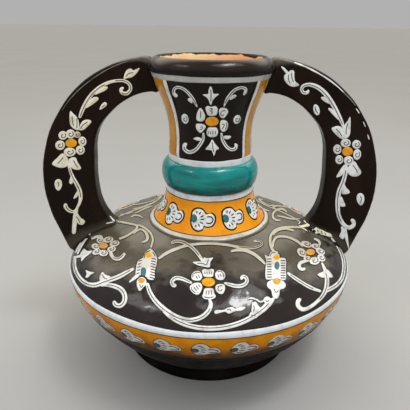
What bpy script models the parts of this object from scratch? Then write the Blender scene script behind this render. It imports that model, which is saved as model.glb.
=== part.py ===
# Two-handled vase, built from the thrown sections and slab handles that a potter lutes together.
# Metres, +Z up. The origin is the middle of the underside, and the painted front faces -Y.

import math

import bmesh
import bpy

MM = 0.001

# The whole vase
belly_radius = 141.5 * MM
wall = 7.0 * MM
luting_gap = 0.3 * MM
turns_around = 60

# Foot ring
foot_radius = 87.5 * MM
foot_height = 10.0 * MM
foot_width = 11.0 * MM
foot_spread = 2.0 * MM
foot_edge = 2.5 * MM
foot_neck_inset = 3.5 * MM
foot_neck_radius = foot_radius - foot_neck_inset

# Lower bowl. The shares pull its curve: how far in, and how far down, each pull lies.
bowl_rise = 85.0 * MM
floor_thickness = 9.0 * MM
bowl_pull_shares = ((0.0, 0.27), (0.44, 0.71))
belly_height = foot_height + bowl_rise

# Shoulder. The shares pull its curve: how far out, and how far down, each pull lies.
shoulder_rise = 38.7 * MM
shoulder_pull_shares = ((0.36, 0.06), (0.89, 0.50))
shoulder_top = belly_height + shoulder_rise

# Waist, where the neck stands on its base inside the collar ring
neck_waist_radius = 39.5 * MM
collar_seat_depth = 1.3 * MM
collar_seat_radius = neck_waist_radius - collar_seat_depth

# Neck base, the painted cone
base_foot_radius = 61.3 * MM
base_toe = 0.8 * MM
base_toe_width = 5.2 * MM
base_root_rise = 2.6 * MM
base_pull_step = 0.4 * MM
base_pull_rise = 19.3 * MM
base_rise = 32.1 * MM
base_ledge_step = 2.4 * MM
base_ledge_width = 1.2 * MM
base_ledge_rise = 4.6 * MM
base_root_radius = base_foot_radius - base_toe_width
base_ledge_radius = neck_waist_radius + base_ledge_step
base_top_radius = base_ledge_radius + base_ledge_width
base_pull_radius = base_top_radius + base_pull_step
base_pull_height = shoulder_top + base_pull_rise
base_top_height = shoulder_top + base_rise

# Collar ring, the roll that covers the joint of neck and neck base
collar_height = 26.6 * MM
collar_overhang = 5.1 * MM
collar_softness = 1.2
joint_rise = 13.6 * MM
collar_radius = base_ledge_radius + collar_overhang
collar_bottom = base_top_height + base_ledge_rise
collar_top = collar_bottom + collar_height
joint_height = collar_bottom + joint_rise

# Neck
neck_flare = 14.8 * MM
neck_rise = 78.6 * MM
neck_top_radius = neck_waist_radius + neck_flare
neck_top_height = collar_top + neck_rise

# Rolled lip
lip_overhang = 2.5 * MM
lip_width = 10.2 * MM
lip_crest_inset = 7.4 * MM
lip_rise = 13.4 * MM
lip_roll_drop = 6.6 * MM
lip_under_share = 0.4
lip_radius = neck_top_radius + lip_overhang
lip_crest_radius = lip_radius - lip_crest_inset
lip_mouth_radius = lip_radius - lip_width
overall_height = neck_top_height + lip_rise

# Wing handles. The outlines are shares of the handle's span and height: the outer one from the lip
# to the handle's reach, the inner one from the lip to the inside of the band.
handle_thickness = 20.0 * MM
handle_edge = 2.8 * MM
handle_overhang = 21.0 * MM
handle_band = 51.3 * MM
handle_top_drop = 0.8 * MM
handle_root_depth = 30.2 * MM
handle_sunk = 17.0 * MM
handle_outer_shares = (
    (0.034, 1.0),
    (0.21, 0.981),
    (0.395, 0.941),
    (0.58, 0.874),
    (0.776, 0.758),
    (0.927, 0.603),
    (1.0, 0.4),
    (0.97, 0.233),
    (0.9, 0.12),
    (0.832, 0.015),
)
handle_inner_shares = (
    (0.72, -0.062),
    (0.794, -0.014),
    (0.873, 0.039),
    (0.948, 0.12),
    (0.996, 0.262),
    (0.987, 0.453),
    (0.892, 0.706),
    (0.665, 0.835),
    (0.362, 0.939),
    (0.090, 0.987),
    (-0.162, 1.0),
)
curve_resolution = 4
flat_angle = math.radians(0.5)
sharp_angle = math.radians(60.0)

# Run of one cut past the piece that it cuts
overrun = 10.0 * MM
smallest_merge = 0.01 * MM

# How many points the curved runs have
steps_long = 9
steps_short = 5


def clear_scene():
    for old in list(bpy.data.objects):
        bpy.data.objects.remove(old)


def new_collection(name):
    group = bpy.data.collections.new(name)
    bpy.context.scene.collection.children.link(group)
    return group


def glaze(name, colour, roughness):
    material = bpy.data.materials.new(name)
    material.use_nodes = True
    shader = material.node_tree.nodes["Principled BSDF"]
    shader.inputs["Base Color"].default_value = (*colour, 1.0)
    shader.inputs["Roughness"].default_value = roughness
    shader.inputs["Metallic"].default_value = 0.0
    material.diffuse_color = (*colour, 1.0)
    return material


def between(first, second, share):
    return first + (second - first) * share


def blend(first, second, share):
    return tuple(between(a, b, share) for a, b in zip(first, second))


def curved_run(points, steps):
    """A Bezier curve of any degree from the first point to the last, pulled by those between."""
    run = []
    for step in range(steps):
        level = list(points)
        while len(level) > 1:
            level = [blend(a, b, step / (steps - 1)) for a, b in zip(level, level[1:])]
        run.append(level[0])
    return run


def offset_run(points, distance):
    """The same run moved square to itself: to the inner side of a run that goes down the outside."""
    moved = []
    last = len(points) - 1
    for index, (radius, height) in enumerate(points):
        before = points[max(index - 1, 0)]
        after = points[min(index + 1, last)]
        along_r = after[0] - before[0]
        along_z = after[1] - before[1]
        length = math.hypot(along_r, along_z)
        moved.append((radius + distance * along_z / length, height - distance * along_r / length))
    return moved


# Profiles as (radius, height), each listed from its top down
def lip_run():
    """Outside of the rolled lip, from its crest down to its seat on the neck."""
    roll = overall_height - lip_roll_drop
    seat = neck_top_height + luting_gap
    crest = [(lip_crest_radius, overall_height), (lip_radius, overall_height), (lip_radius, roll)]
    under = [(lip_radius, roll), (lip_radius, between(seat, roll, lip_under_share)), (neck_top_radius, seat)]
    return curved_run(crest, steps_short) + curved_run(under, steps_short)[1:]


def neck_run():
    """The flared outside of the neck: it opens with the square of the height above the collar."""
    run = []
    for step in range(steps_long):
        share = 1.0 - step / (steps_long - 1)
        radius = between(neck_waist_radius, neck_top_radius, share * share)
        run.append((radius, between(collar_top, neck_top_height, share)))
    return run


def collar_run():
    """Outside of the collar ring, a soft roll between the two ledges that it sits in."""
    top = collar_top - luting_gap
    bottom = collar_bottom + luting_gap
    run = []
    for step in range(steps_long):
        angle = math.pi * step / (steps_long - 1)
        down = (1.0 - math.cos(angle)) / 2.0
        out = math.sin(angle) ** collar_softness
        ledge = between(neck_waist_radius, base_ledge_radius, down)
        run.append((between(ledge, collar_radius, out), between(top, bottom, down)))
    return run


def base_run():
    """Outside of the neck base: a cone that hollows in and runs out in a toe on the shoulder."""
    cone = curved_run(
        [
            (base_top_radius, base_top_height),
            (base_pull_radius, base_pull_height),
            (base_root_radius, shoulder_top + base_root_rise),
        ],
        steps_short + 1,
    )
    toe = (base_foot_radius, shoulder_top + luting_gap + base_toe)
    return [(base_ledge_radius, collar_bottom)] + cone + [toe]


def shoulder_run(steps):
    """The dome from the toe of the neck base out and down to the widest turn of the belly."""
    start = (base_foot_radius, shoulder_top)
    end = (belly_radius, belly_height)
    pulls = [
        (between(start[0], end[0], out), between(start[1], end[1], down)) for out, down in shoulder_pull_shares
    ]
    return curved_run([start] + pulls + [end], steps)


def bowl_run(steps):
    """The underside of the belly, from its widest turn in to the foot ring."""
    start = (belly_radius, belly_height)
    end = (foot_neck_radius, foot_height + luting_gap)
    pulls = [
        (between(start[0], end[0], inward), between(start[1], end[1], down)) for inward, down in bowl_pull_shares
    ]
    return curved_run([start] + pulls + [end], steps)


def turn(name, profile, material, group, closed=True):
    """Turns a profile round Z. The profile runs down its outer side first, top to bottom."""
    mesh = bpy.data.meshes.new(name)
    corners = [(radius, 0.0, height) for radius, height in profile]
    links = [(i, i + 1) for i in range(len(corners) - 1)]
    if closed:
        links.append((len(corners) - 1, 0))
    mesh.from_pydata(corners, links, [])
    piece = bpy.data.objects.new(name, mesh)
    group.objects.link(piece)
    mesh.materials.append(material)
    spin = piece.modifiers.new("Turn", "SCREW")
    spin.axis = "Z"
    spin.steps = turns_around
    spin.render_steps = turns_around
    spin.use_merge_vertices = True
    spin.merge_threshold = smallest_merge
    spin.use_smooth_shade = True
    return piece


def make_foot_ring(group, clay):
    inner = foot_radius - foot_width
    profile = [
        (foot_neck_radius, foot_height),
        (foot_radius + foot_spread, foot_edge),
        (foot_radius, 0.0),
        (inner, 0.0),
        (inner - foot_edge, foot_edge),
        (inner - foot_edge, foot_height),
    ]
    return turn("foot_ring", profile, clay, group)


def make_lower_bowl(group, clay):
    """The lower half of the belly, with a flat floor on the foot ring and a flat rim at the seam."""
    seam = belly_height - luting_gap / 2.0
    outside = bowl_run(steps_long)
    outside[0] = (belly_radius, seam)
    base = outside[-1][1]
    floor = base + floor_thickness
    inside = offset_run(bowl_run(steps_short + 1), wall)
    inside[0] = (belly_radius - wall, seam)
    inside = [point for point in inside if point[1] > floor + wall]
    bend = (between(foot_neck_radius, inside[-1][0], 0.5), floor)
    profile = [(0.0, floor), bend] + inside[::-1] + outside + [(0.0, base)]
    return turn("lower_bowl", profile, clay, group, closed=False)


def make_shoulder(group, clay):
    """The upper half of the belly, with a hole that the neck base stands over."""
    seam = belly_height + luting_gap / 2.0
    outside = shoulder_run(steps_long)
    outside[-1] = (belly_radius, seam)
    inside = offset_run(shoulder_run(steps_short + 1), wall)
    inside[-1] = (belly_radius - wall, seam)
    hole = base_foot_radius - 2.0 * wall
    profile = [(hole, shoulder_top)] + outside + inside[::-1] + [(hole, shoulder_top - wall)]
    return turn("shoulder", profile, clay, group)


def make_neck_base(group, clay):
    seat = shoulder_top + luting_gap
    bore = collar_seat_radius - wall
    hole = base_foot_radius - 2.0 * wall
    throat = [(bore, joint_height), (bore, base_pull_height), (hole, seat + wall), (hole, seat)]
    stub = [(collar_seat_radius, joint_height), (collar_seat_radius, collar_bottom)]
    toe = (base_foot_radius, seat)
    profile = stub + base_run() + [toe] + curved_run(throat, steps_short)[::-1]
    return turn("neck_base", profile, clay, group)


def make_collar_ring(group, clay):
    outside = collar_run()
    bore = collar_seat_radius + luting_gap
    profile = outside + [(bore, outside[-1][1]), (bore, outside[0][1])]
    return turn("collar_ring", profile, clay, group)


def make_neck(group, clay):
    outside = neck_run()
    foot = joint_height + luting_gap
    bore = collar_seat_radius - wall
    inside = [(radius - wall, height) for radius, height in outside[:-1:2]]
    stub = [(collar_seat_radius, collar_top), (collar_seat_radius, foot), (bore, foot)]
    return turn("neck", outside + stub + inside[::-1], clay, group)


def make_rim_lip(group, clay):
    outside = lip_run()
    roll_in = curved_run(
        [
            (lip_mouth_radius, overall_height - lip_roll_drop),
            (lip_mouth_radius, overall_height),
            (lip_crest_radius, overall_height),
        ],
        steps_short,
    )
    return turn("rim_lip", outside + [(lip_mouth_radius, outside[-1][1])] + roll_in[:-1], clay, group)


def make_core(group):
    """What the turned sections fill, with the luting gap round it: it cuts the handles to their seats."""
    outside = lip_run() + neck_run()[1:]
    outside += [(neck_waist_radius, shoulder_top)]
    outside += shoulder_run(steps_long)
    loose = offset_run(outside, -luting_gap)
    base = belly_height - overrun
    profile = [(0.0, loose[0][1])] + loose + [(belly_radius + luting_gap, base), (0.0, base)]
    core = turn("core_cutter", profile, None, group, closed=False)
    core.hide_render = True
    core.display_type = "WIRE"
    return core


def handle_outline(side):
    """The handle's outline in the XZ plane: outer edge, the end sunk in the belly, inner edge, root."""
    reach = belly_radius + handle_overhang
    top = overall_height - handle_top_drop
    inner_reach = reach - handle_band
    inner_top = top - handle_root_depth
    outer = [
        (between(lip_radius, reach, out), between(belly_height, top, up)) for out, up in handle_outer_shares
    ]
    inner = [
        (between(lip_radius, inner_reach, out), between(shoulder_top, inner_top, up))
        for out, up in handle_inner_shares
    ]
    sunk = [(belly_radius - handle_sunk, belly_height), (belly_radius - handle_band, belly_height + handle_sunk)]
    root = [(lip_radius - handle_sunk, inner_top), (lip_radius - handle_sunk, top - handle_top_drop)]
    return [(side * x, z) for x, z in outer + sunk + inner + root], len(outer), len(sunk), len(inner)


def handle_curve(name, side, group):
    """A flat curve filled on both faces, with the handle's thickness as its extrusion."""
    points, outer_count, sunk_count, inner_count = handle_outline(side)
    curve = bpy.data.curves.new(name + "_outline", "CURVE")
    curve.dimensions = "2D"
    curve.fill_mode = "BOTH"
    curve.resolution_u = curve_resolution
    curve.extrude = handle_thickness / 2.0
    spline = curve.splines.new("BEZIER")
    spline.bezier_points.add(len(points) - 1)
    spline.use_cyclic_u = True
    inner_start = outer_count + sunk_count
    for index, (knot, (x, z)) in enumerate(zip(spline.bezier_points, points)):
        knot.co = (x, z, 0.0)
        on_outer = 0 < index < outer_count - 1
        on_inner = inner_start < index < inner_start + inner_count - 1
        kind = "AUTO" if on_outer or on_inner else "VECTOR"
        knot.handle_left_type = kind
        knot.handle_right_type = kind
    flat = bpy.data.objects.new(name + "_outline", curve)
    flat.rotation_euler = (math.pi / 2.0, 0.0, 0.0)
    group.objects.link(flat)
    return flat


def make_handle(name, side, core, group, cutters, clay):
    """One wing handle: the filled outline made a mesh, its edges rounded, cut to its seats."""
    flat = handle_curve(name, side, cutters)
    bpy.context.view_layer.update()
    graph = bpy.context.evaluated_depsgraph_get()
    mesh = bpy.data.meshes.new_from_object(flat.evaluated_get(graph))
    mesh.name = name
    shape = bmesh.new()
    shape.from_mesh(mesh)
    bmesh.ops.remove_doubles(shape, verts=shape.verts, dist=smallest_merge)
    bmesh.ops.dissolve_limit(shape, angle_limit=flat_angle, verts=shape.verts, edges=shape.edges)
    bmesh.ops.recalc_face_normals(shape, faces=shape.faces)
    shape.to_mesh(mesh)
    shape.free()
    mesh.materials.clear()
    mesh.materials.append(clay)
    piece = bpy.data.objects.new(name, mesh)
    piece.matrix_world = flat.matrix_world
    group.objects.link(piece)
    bpy.data.objects.remove(flat)
    soften = piece.modifiers.new("Soft edges", "BEVEL")
    soften.width = handle_edge
    soften.segments = 2
    soften.limit_method = "ANGLE"
    soften.angle_limit = sharp_angle
    seat = piece.modifiers.new("Seats", "BOOLEAN")
    seat.operation = "DIFFERENCE"
    seat.solver = "EXACT"
    seat.object = core
    return piece


def main():
    clear_scene()
    vase = new_collection("two_handled_vase")
    cutters = new_collection("cutters")
    dark = glaze("aubergine_glaze", (0.024, 0.015, 0.013), 0.15)
    yellow = glaze("yellow_glaze", (0.68, 0.31, 0.02), 0.2)
    teal = glaze("teal_glaze", (0.01, 0.25, 0.24), 0.15)
    make_foot_ring(vase, dark)
    make_lower_bowl(vase, yellow)
    make_shoulder(vase, dark)
    make_neck_base(vase, yellow)
    make_collar_ring(vase, teal)
    make_neck(vase, dark)
    make_rim_lip(vase, dark)
    core = make_core(cutters)
    make_handle("handle_left", -1.0, core, vase, cutters, dark)
    make_handle("handle_right", 1.0, core, vase, cutters, dark)


main()
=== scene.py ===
# Looks of the two-handled vase: thrown skins, clay handles, and the slip ornament laid on them.
# Metres, +Z up, the painted front faces -Y. Pixels are those of the 410 by 410 photograph.
import math

import bmesh
import bpy
from mathutils import Matrix, Vector, noise
from mathutils.bvhtree import BVHTree


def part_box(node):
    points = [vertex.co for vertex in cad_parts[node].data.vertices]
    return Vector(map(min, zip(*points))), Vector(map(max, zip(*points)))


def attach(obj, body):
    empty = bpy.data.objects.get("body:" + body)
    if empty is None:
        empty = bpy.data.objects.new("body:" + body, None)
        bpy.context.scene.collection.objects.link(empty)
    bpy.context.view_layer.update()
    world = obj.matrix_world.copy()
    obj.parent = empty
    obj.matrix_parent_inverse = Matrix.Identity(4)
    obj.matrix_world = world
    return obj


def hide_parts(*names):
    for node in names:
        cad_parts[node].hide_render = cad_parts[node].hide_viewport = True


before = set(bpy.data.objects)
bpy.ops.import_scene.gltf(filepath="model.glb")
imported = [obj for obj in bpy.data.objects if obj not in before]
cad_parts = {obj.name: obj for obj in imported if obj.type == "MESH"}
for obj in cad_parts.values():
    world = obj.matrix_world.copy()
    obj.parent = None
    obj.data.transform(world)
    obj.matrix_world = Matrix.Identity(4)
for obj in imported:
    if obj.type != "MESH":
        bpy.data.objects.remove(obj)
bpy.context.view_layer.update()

MM = 0.001

# Camera, solved from the rings of the vase
photo_side = 410.0
focal_px = 443.0
axis_px = (207.8, 205.0)
camera_place = Vector((-1.6 * MM, -415.8 * MM, 315.2 * MM))
camera_pitch = math.radians(22.25)
camera_roll = math.radians(0.73)
sensor_width = 36.0
camera_turn = Matrix.Rotation(math.pi / 2.0 - camera_pitch, 3, "X") @ Matrix.Rotation(camera_roll, 3, "Z")

# Shape values that the frame's boxes don't give
foot_spread = 2.0 * MM
foot_width = 11.0 * MM
foot_neck_radius = 84.0 * MM
foot_round = 1.6 * MM
wall = 7.0 * MM
floor_thickness = 9.0 * MM
bowl_pull_shares = ((0.0, 0.27), (0.44, 0.71))
shoulder_pull_shares = ((0.36, 0.06), (0.89, 0.50))
base_root_radius = 56.1 * MM
base_root_rise = 2.6 * MM
base_pull_radius = 43.5 * MM
base_pull_height = 153.0 * MM
base_top_radius = 43.1 * MM
base_top_height = 165.8 * MM
base_ledge_radius = 41.9 * MM
throat_radius = 31.2 * MM
neck_waist_radius = 39.5 * MM
neck_hollow = 2.6 * MM
neck_hollow_low = 0.10
neck_hollow_high = 0.86
neck_hollow_power = 1.5
collar_softness = 1.2
lip_crest_radius = 49.4 * MM
lip_mouth_radius = 46.6 * MM
lip_roll_drop = 9.4 * MM
lip_crest_pulls = ((0.5, 0.12), (1.0, 0.52))
lip_under_share = 0.4

# Steps of the turned skins
around_steps = 216
run_steps = 41
short_steps = 15
toe_steps = 7
corner_steps = 5
merge_distance = 0.001 * MM
sharp_angle = math.radians(50.0)

# Unevenness of hand throwing: its depth, and its waves round the wall and up it
throw_depth = 0.28 * MM
throw_waves = 1.3
throw_waves_up = 22.0

# Heights of what is laid on the ground glaze
outline_lift = 0.32 * MM
band_lift = 0.22 * MM
ring_lift = 0.45 * MM
slip_lift = 0.50 * MM
colour_lift = 0.66 * MM
# Height of the painted edge highlights and chips on the handles
edge_glint_and_wear_lift = 0.16 * MM
line_rise = 0.10 * MM
sink = 0.35 * MM

# Strokes: sampling and line widths, in pixels or in the cloud motifs' millimetres
stroke_step_px = 0.7
outline_px = 0.7
fine_line_px = 0.95
worn_chip_px = 1.0
hatch_px = 1.15
cloud_rim_mm = 1.1
cloud_line_mm = 1.25
least_half_px = 0.05
least_end_share = 0.01
oval_points = 10
coil_points = 11
coil_start = -1.0
coil_turn = 0.66
coil_reach = (0.66, 0.10)

# Sections, as (share of the half width or of the outline, share of the height)
SECTION = (
    (-1.0, 0.25), (-0.84, 0.82), (-0.4, 1.0), (0.4, 1.0), (0.84, 0.82), (1.0, 0.25), (1.0, 0.0), (-1.0, 0.0),
)
POOL = ((0.97, 0.0), (1.0, 0.35), (0.9, 0.85), (0.7, 1.0), (0.5, 1.0), (0.3, 1.0), (0.12, 1.0))

# Where a painted group is repeated
SAME = Matrix.Identity(3)
HALF_TURN = Matrix.Rotation(math.pi, 3, "Z")
FAR_FACE = Matrix.Scale(-1.0, 3, Vector((0.0, 1.0, 0.0)))


def between(first, second, share):
    return first + (second - first) * share


def blend(first, second, share):
    return tuple(between(a, b, share) for a, b in zip(first, second))


def pulled(start, end, shares):
    """Points that lie at shares of the way from start to end, in radius and in height."""
    return [(between(start[0], end[0], across), between(start[1], end[1], down)) for across, down in shares]


def curved_run(points, steps):
    """A smooth curve from the first point to the last, pulled by those between."""
    run = []
    for step in range(steps):
        level = list(points)
        while len(level) > 1:
            level = [blend(a, b, step / (steps - 1)) for a, b in zip(level, level[1:])]
        run.append(level[0])
    return run


def across_at(points, index):
    """Unit direction square to a run of points, in its first two values, at one of them."""
    before = points[max(index - 1, 0)]
    after = points[min(index + 1, len(points) - 1)]
    along = (after[0] - before[0], after[1] - before[1])
    length = math.hypot(*along) or 1.0
    return -along[1] / length, along[0] / length


def offset_run(points, distance):
    """The same run moved square to itself: to the inner side of a run that goes down the outside."""
    moved = []
    for index, (radius, height) in enumerate(points):
        across = across_at(points, index)
        moved.append((radius - distance * across[0], height - distance * across[1]))
    return moved


# Sizes from the frame
foot_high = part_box("foot_ring")[1]
bowl_low, bowl_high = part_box("lower_bowl")
shoulder_low, shoulder_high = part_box("shoulder")
base_low, base_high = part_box("neck_base")
collar_low, collar_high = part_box("collar_ring")
neck_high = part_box("neck")[1]
lip_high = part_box("rim_lip")[1]
belly_height = (bowl_high.z + shoulder_low.z) / 2.0
belly_edge = (shoulder_high.x, belly_height)
shoulder_top = shoulder_high.z
collar_top = collar_high.z
collar_bottom = collar_low.z


def bowl_run(steps):
    end = (foot_neck_radius, bowl_low.z)
    return curved_run([belly_edge] + pulled(belly_edge, end, bowl_pull_shares) + [end], steps)


def shoulder_run(steps):
    start = (base_high.x, shoulder_top)
    return curved_run([start] + pulled(start, belly_edge, shoulder_pull_shares) + [belly_edge], steps)


def base_run(steps):
    """The painted cone from the ledge under the collar down to its toe on the shoulder."""
    top = (base_top_radius, base_top_height)
    root = (base_root_radius, shoulder_top + base_root_rise)
    cone = curved_run([top, (base_pull_radius, base_pull_height), root], steps)
    return [(base_ledge_radius, collar_bottom)] + cone


def toe_run(start, steps):
    """The small foot of the cone, from its root down to the shoulder."""
    bend = (base_high.x, shoulder_top + base_root_rise / 2.0)
    return curved_run([start, bend, (base_high.x, base_low.z)], steps)[1:]


def collar_run(steps):
    run = []
    for step in range(steps):
        angle = math.pi * step / (steps - 1)
        down = (1.0 - math.cos(angle)) / 2.0
        out = math.sin(angle) ** collar_softness
        ledge = between(neck_waist_radius, base_ledge_radius, down)
        run.append((between(ledge, collar_high.x, out), between(collar_top, collar_bottom, down)))
    return run


def neck_run(steps):
    """The flare of the neck. Its middle is drawn in a little where the potter's hand held it."""
    run = []
    for step in range(steps):
        share = 1.0 - step / (steps - 1)
        reach = (share - neck_hollow_low) * (neck_hollow_high - share)
        fullness = max(reach, 0.0) * 4.0 / (neck_hollow_high - neck_hollow_low) ** 2
        drawn_in = neck_hollow * fullness**neck_hollow_power
        radius = between(neck_waist_radius, neck_high.x, share * share) - drawn_in
        run.append((radius, between(collar_top, neck_high.z, share)))
    return run


def lip_run(steps):
    top = (lip_crest_radius, lip_high.z)
    side = (lip_high.x, lip_high.z - lip_roll_drop)
    bottom = (neck_high.x, neck_high.z)
    tuck = (side[0], between(neck_high.z, side[1], lip_under_share))
    crest = curved_run([top] + pulled(top, side, lip_crest_pulls) + [side], steps)
    return crest + curved_run([side, tuck, bottom], steps)[1:]


def on_turn(angle, radius, height):
    """A point of a thrown wall. The angle runs from the front round to +X; the wall wavers a little."""
    across = math.sin(angle)
    front = math.cos(angle)
    waver = noise.noise(Vector((across * throw_waves, front * throw_waves, height * throw_waves_up)))
    radius = max(radius - throw_depth * (1.0 + waver) / 2.0, 0.0) if radius > 0.0 else 0.0
    return Vector((across * radius, -front * radius, height))


def add_object(name, data):
    item = bpy.data.objects.new(name, data)
    bpy.context.scene.collection.objects.link(item)
    return item


def mesh_object(name, points, faces, materials, zones=None):
    """A smooth mesh object, welded, with its faces turned outward."""
    mesh = bpy.data.meshes.new(name)
    mesh.from_pydata([tuple(p) for p in points], [], faces)
    for material in materials:
        mesh.materials.append(material)
    if zones:
        mesh.polygons.foreach_set("material_index", zones)
    shape = bmesh.new()
    shape.from_mesh(mesh)
    bmesh.ops.remove_doubles(shape, verts=shape.verts, dist=merge_distance)
    bmesh.ops.dissolve_degenerate(shape, edges=shape.edges, dist=merge_distance)
    bmesh.ops.recalc_face_normals(shape, faces=shape.faces)
    shape.to_mesh(mesh)
    shape.free()
    mesh.shade_smooth()
    mesh.set_sharp_from_angle(angle=sharp_angle)
    return add_object(name, mesh)


def keep(piece, slot, *nodes):
    """Attaches a piece to the vase's root, and hides the CAD nodes that it stands for. Its slot is not used.
    """
    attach(piece, "root")
    if nodes:
        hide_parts(*nodes)
    return piece


def turned(name, runs, materials, slot, node):
    """Turns a closed profile into a skin that stands for a node. Runs are (points, material number)."""
    profile = [(radius, height, zone) for run, zone in runs for radius, height in run]
    count = len(profile)
    points = []
    faces = []
    zones = []
    for turn in range(around_steps):
        angle = math.tau * turn / around_steps
        points += [on_turn(angle, radius, height) for radius, height, zone in profile]
        here = turn * count
        there = (turn + 1) % around_steps * count
        for index in range(count):
            after = (index + 1) % count
            faces.append((here + index, here + after, there + after, there + index))
            zones.append(profile[index][2])
    return keep(mesh_object(name, points, faces, materials, zones), slot, node)


# Materials. Most of a noise lies within its core, and it is given by scale, detail and roughness.
noise_core = (0.3, 0.7)
pooling_detail = 5.0
pooling_roughness = 0.62
gloss_finer = 3.0
gloss_detail = 3.0
ragged_noise = (60.0, 3.0)
ripple_noise = (110.0, 4.0, 0.55)
swell_noise = (36.0, 1.8, 0.4)
ripple_depth = 0.6 * MM
swell_depth = 6.0 * MM
glaze_ior = 1.5


class Nodes:
    """The node tree of a material or of the world, built up from small parts."""

    def __init__(self, tree):
        self.tree = tree

    def feed(self, target, value):
        """Links a socket to an input, or sets the input to a value."""
        if isinstance(value, bpy.types.NodeSocket):
            self.tree.links.new(value, target)
        else:
            target.default_value = (*value, 1.0) if target.type == "RGBA" else value

    def node(self, kind, inputs, **settings):
        """Adds a node with settings, and feeds its inputs, given by name or number."""
        node = self.tree.nodes.new("ShaderNode" + kind)
        for key, value in settings.items():
            setattr(node, key, value)
        for key, value in inputs.items():
            self.feed(node.inputs[key], value)
        return node

    def fill(self, name, inputs):
        """Feeds the inputs of a node that the tree starts with."""
        for key, value in inputs.items():
            self.feed(self.tree.nodes[name].inputs[key], value)

    def axes(self, space):
        """The three places in a space, as the sockets X, Y and Z."""
        place = self.node("TexCoord", {})
        return self.node("SeparateXYZ", {"Vector": place.outputs[space]}).outputs

    def noise(self, scale, detail, roughness=0.5, stretch=(1.0, 1.0, 1.0)):
        """Noise over the object, from 0 to 1. The stretch squeezes it along an axis into streaks."""
        place = self.node("TexCoord", {})
        mapping = self.node("Mapping", {"Vector": place.outputs["Object"], "Scale": stretch})
        inputs = {"Scale": scale, "Detail": detail, "Roughness": roughness}
        return self.node("TexNoise", {"Vector": mapping.outputs["Vector"], **inputs}).outputs["Fac"]

    def ramp(self, value, stops):
        """Colours spread over a value: stops are (position, colour)."""
        node = self.node("ValToRGB", {"Fac": value})
        elements = node.color_ramp.elements
        while len(elements) < len(stops):
            elements.new(0.5)
        for element, (position, colour) in zip(elements, stops):
            element.position = position
            element.color = (*colour, 1.0)
        return node.outputs["Color"]

    def mix(self, share, first, second, blend_type="MIX"):
        node = self.node("Mix", {"Factor": share}, data_type="RGBA", blend_type=blend_type)
        for target, colour in zip([item for item in node.inputs if item.type == "RGBA"], (first, second)):
            self.feed(target, colour)
        return [item for item in node.outputs if item.type == "RGBA"][0]

    def spread(self, value, start, end, low=0.0, high=1.0, **settings):
        """Maps a value from the range start to end onto the range low to high."""
        inputs = {"Value": value, "From Min": start, "From Max": end, "To Min": low, "To Max": high}
        return self.node("MapRange", inputs, **settings).outputs["Result"]

    def math(self, operation, *values):
        return self.node("Math", dict(enumerate(values)), operation=operation).outputs["Value"]

    def bump(self, value, strength, distance):
        return self.node("Bump", {"Height": value, "Strength": strength, "Distance": distance})

    def ragged_place(self, axis, start, end, reach):
        """From 0 to 1 between two places on an axis of the object, with a limit that noise makes ragged.

        An axis that is a number is a slope: the place is the height plus the slope times the distance
        from the YZ plane.
        """
        axes = self.axes("Object")
        stray = self.spread(self.noise(*ragged_noise), *noise_core, -reach, reach)
        if isinstance(axis, str):
            level = axes[axis]
        else:
            sloped = self.math("MULTIPLY", self.math("ABSOLUTE", axes["X"]), axis)
            level = self.math("ADD", axes["Z"], sloped)
        return self.spread(self.math("ADD", level, stray), start, end)


def new_material(name):
    material = bpy.data.materials.new(name)
    material.use_nodes = True
    return material, Nodes(material.node_tree)


def glaze(
    name, colours, rough=(0.12, 0.24), scale=24.0, stretch=(1.0, 1.0, 1.0), waver=0.25, sheen=0.5, swell=0.0,
    zones=(),
):
    """A glossy glaze: its colour thins and thickens, its gloss varies, and its surface wavers a little.

    A zone is (axis, start, end, raggedness, colour, added roughness), with its places in millimetres.
    """
    material, look = new_material(name)
    last = len(colours) - 1
    stops = [(between(*noise_core, index / last), colour) for index, colour in enumerate(colours)]
    colour = look.ramp(look.noise(scale, pooling_detail, pooling_roughness, stretch), stops)
    gloss = look.spread(look.noise(scale * gloss_finer, gloss_detail), *noise_core, *rough)
    for axis, start, end, reach, tint, dull in zones:
        share = look.ragged_place(axis, start * MM, end * MM, reach * MM)
        colour = look.mix(share, colour, tint)
        gloss = look.math("ADD", gloss, look.math("MULTIPLY", share, dull))
    fine = look.bump(look.noise(*ripple_noise, stretch), waver, ripple_depth)
    if swell:
        broad = look.bump(look.noise(*swell_noise, stretch), swell, swell_depth)
        look.feed(fine.inputs["Normal"], broad.outputs["Normal"])
    inputs = {"Base Color": colour, "Roughness": gloss, "Normal": fine.outputs["Normal"]}
    look.fill("Principled BSDF", {**inputs, "IOR": glaze_ior, "Specular IOR Level": sheen})
    return material


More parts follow.
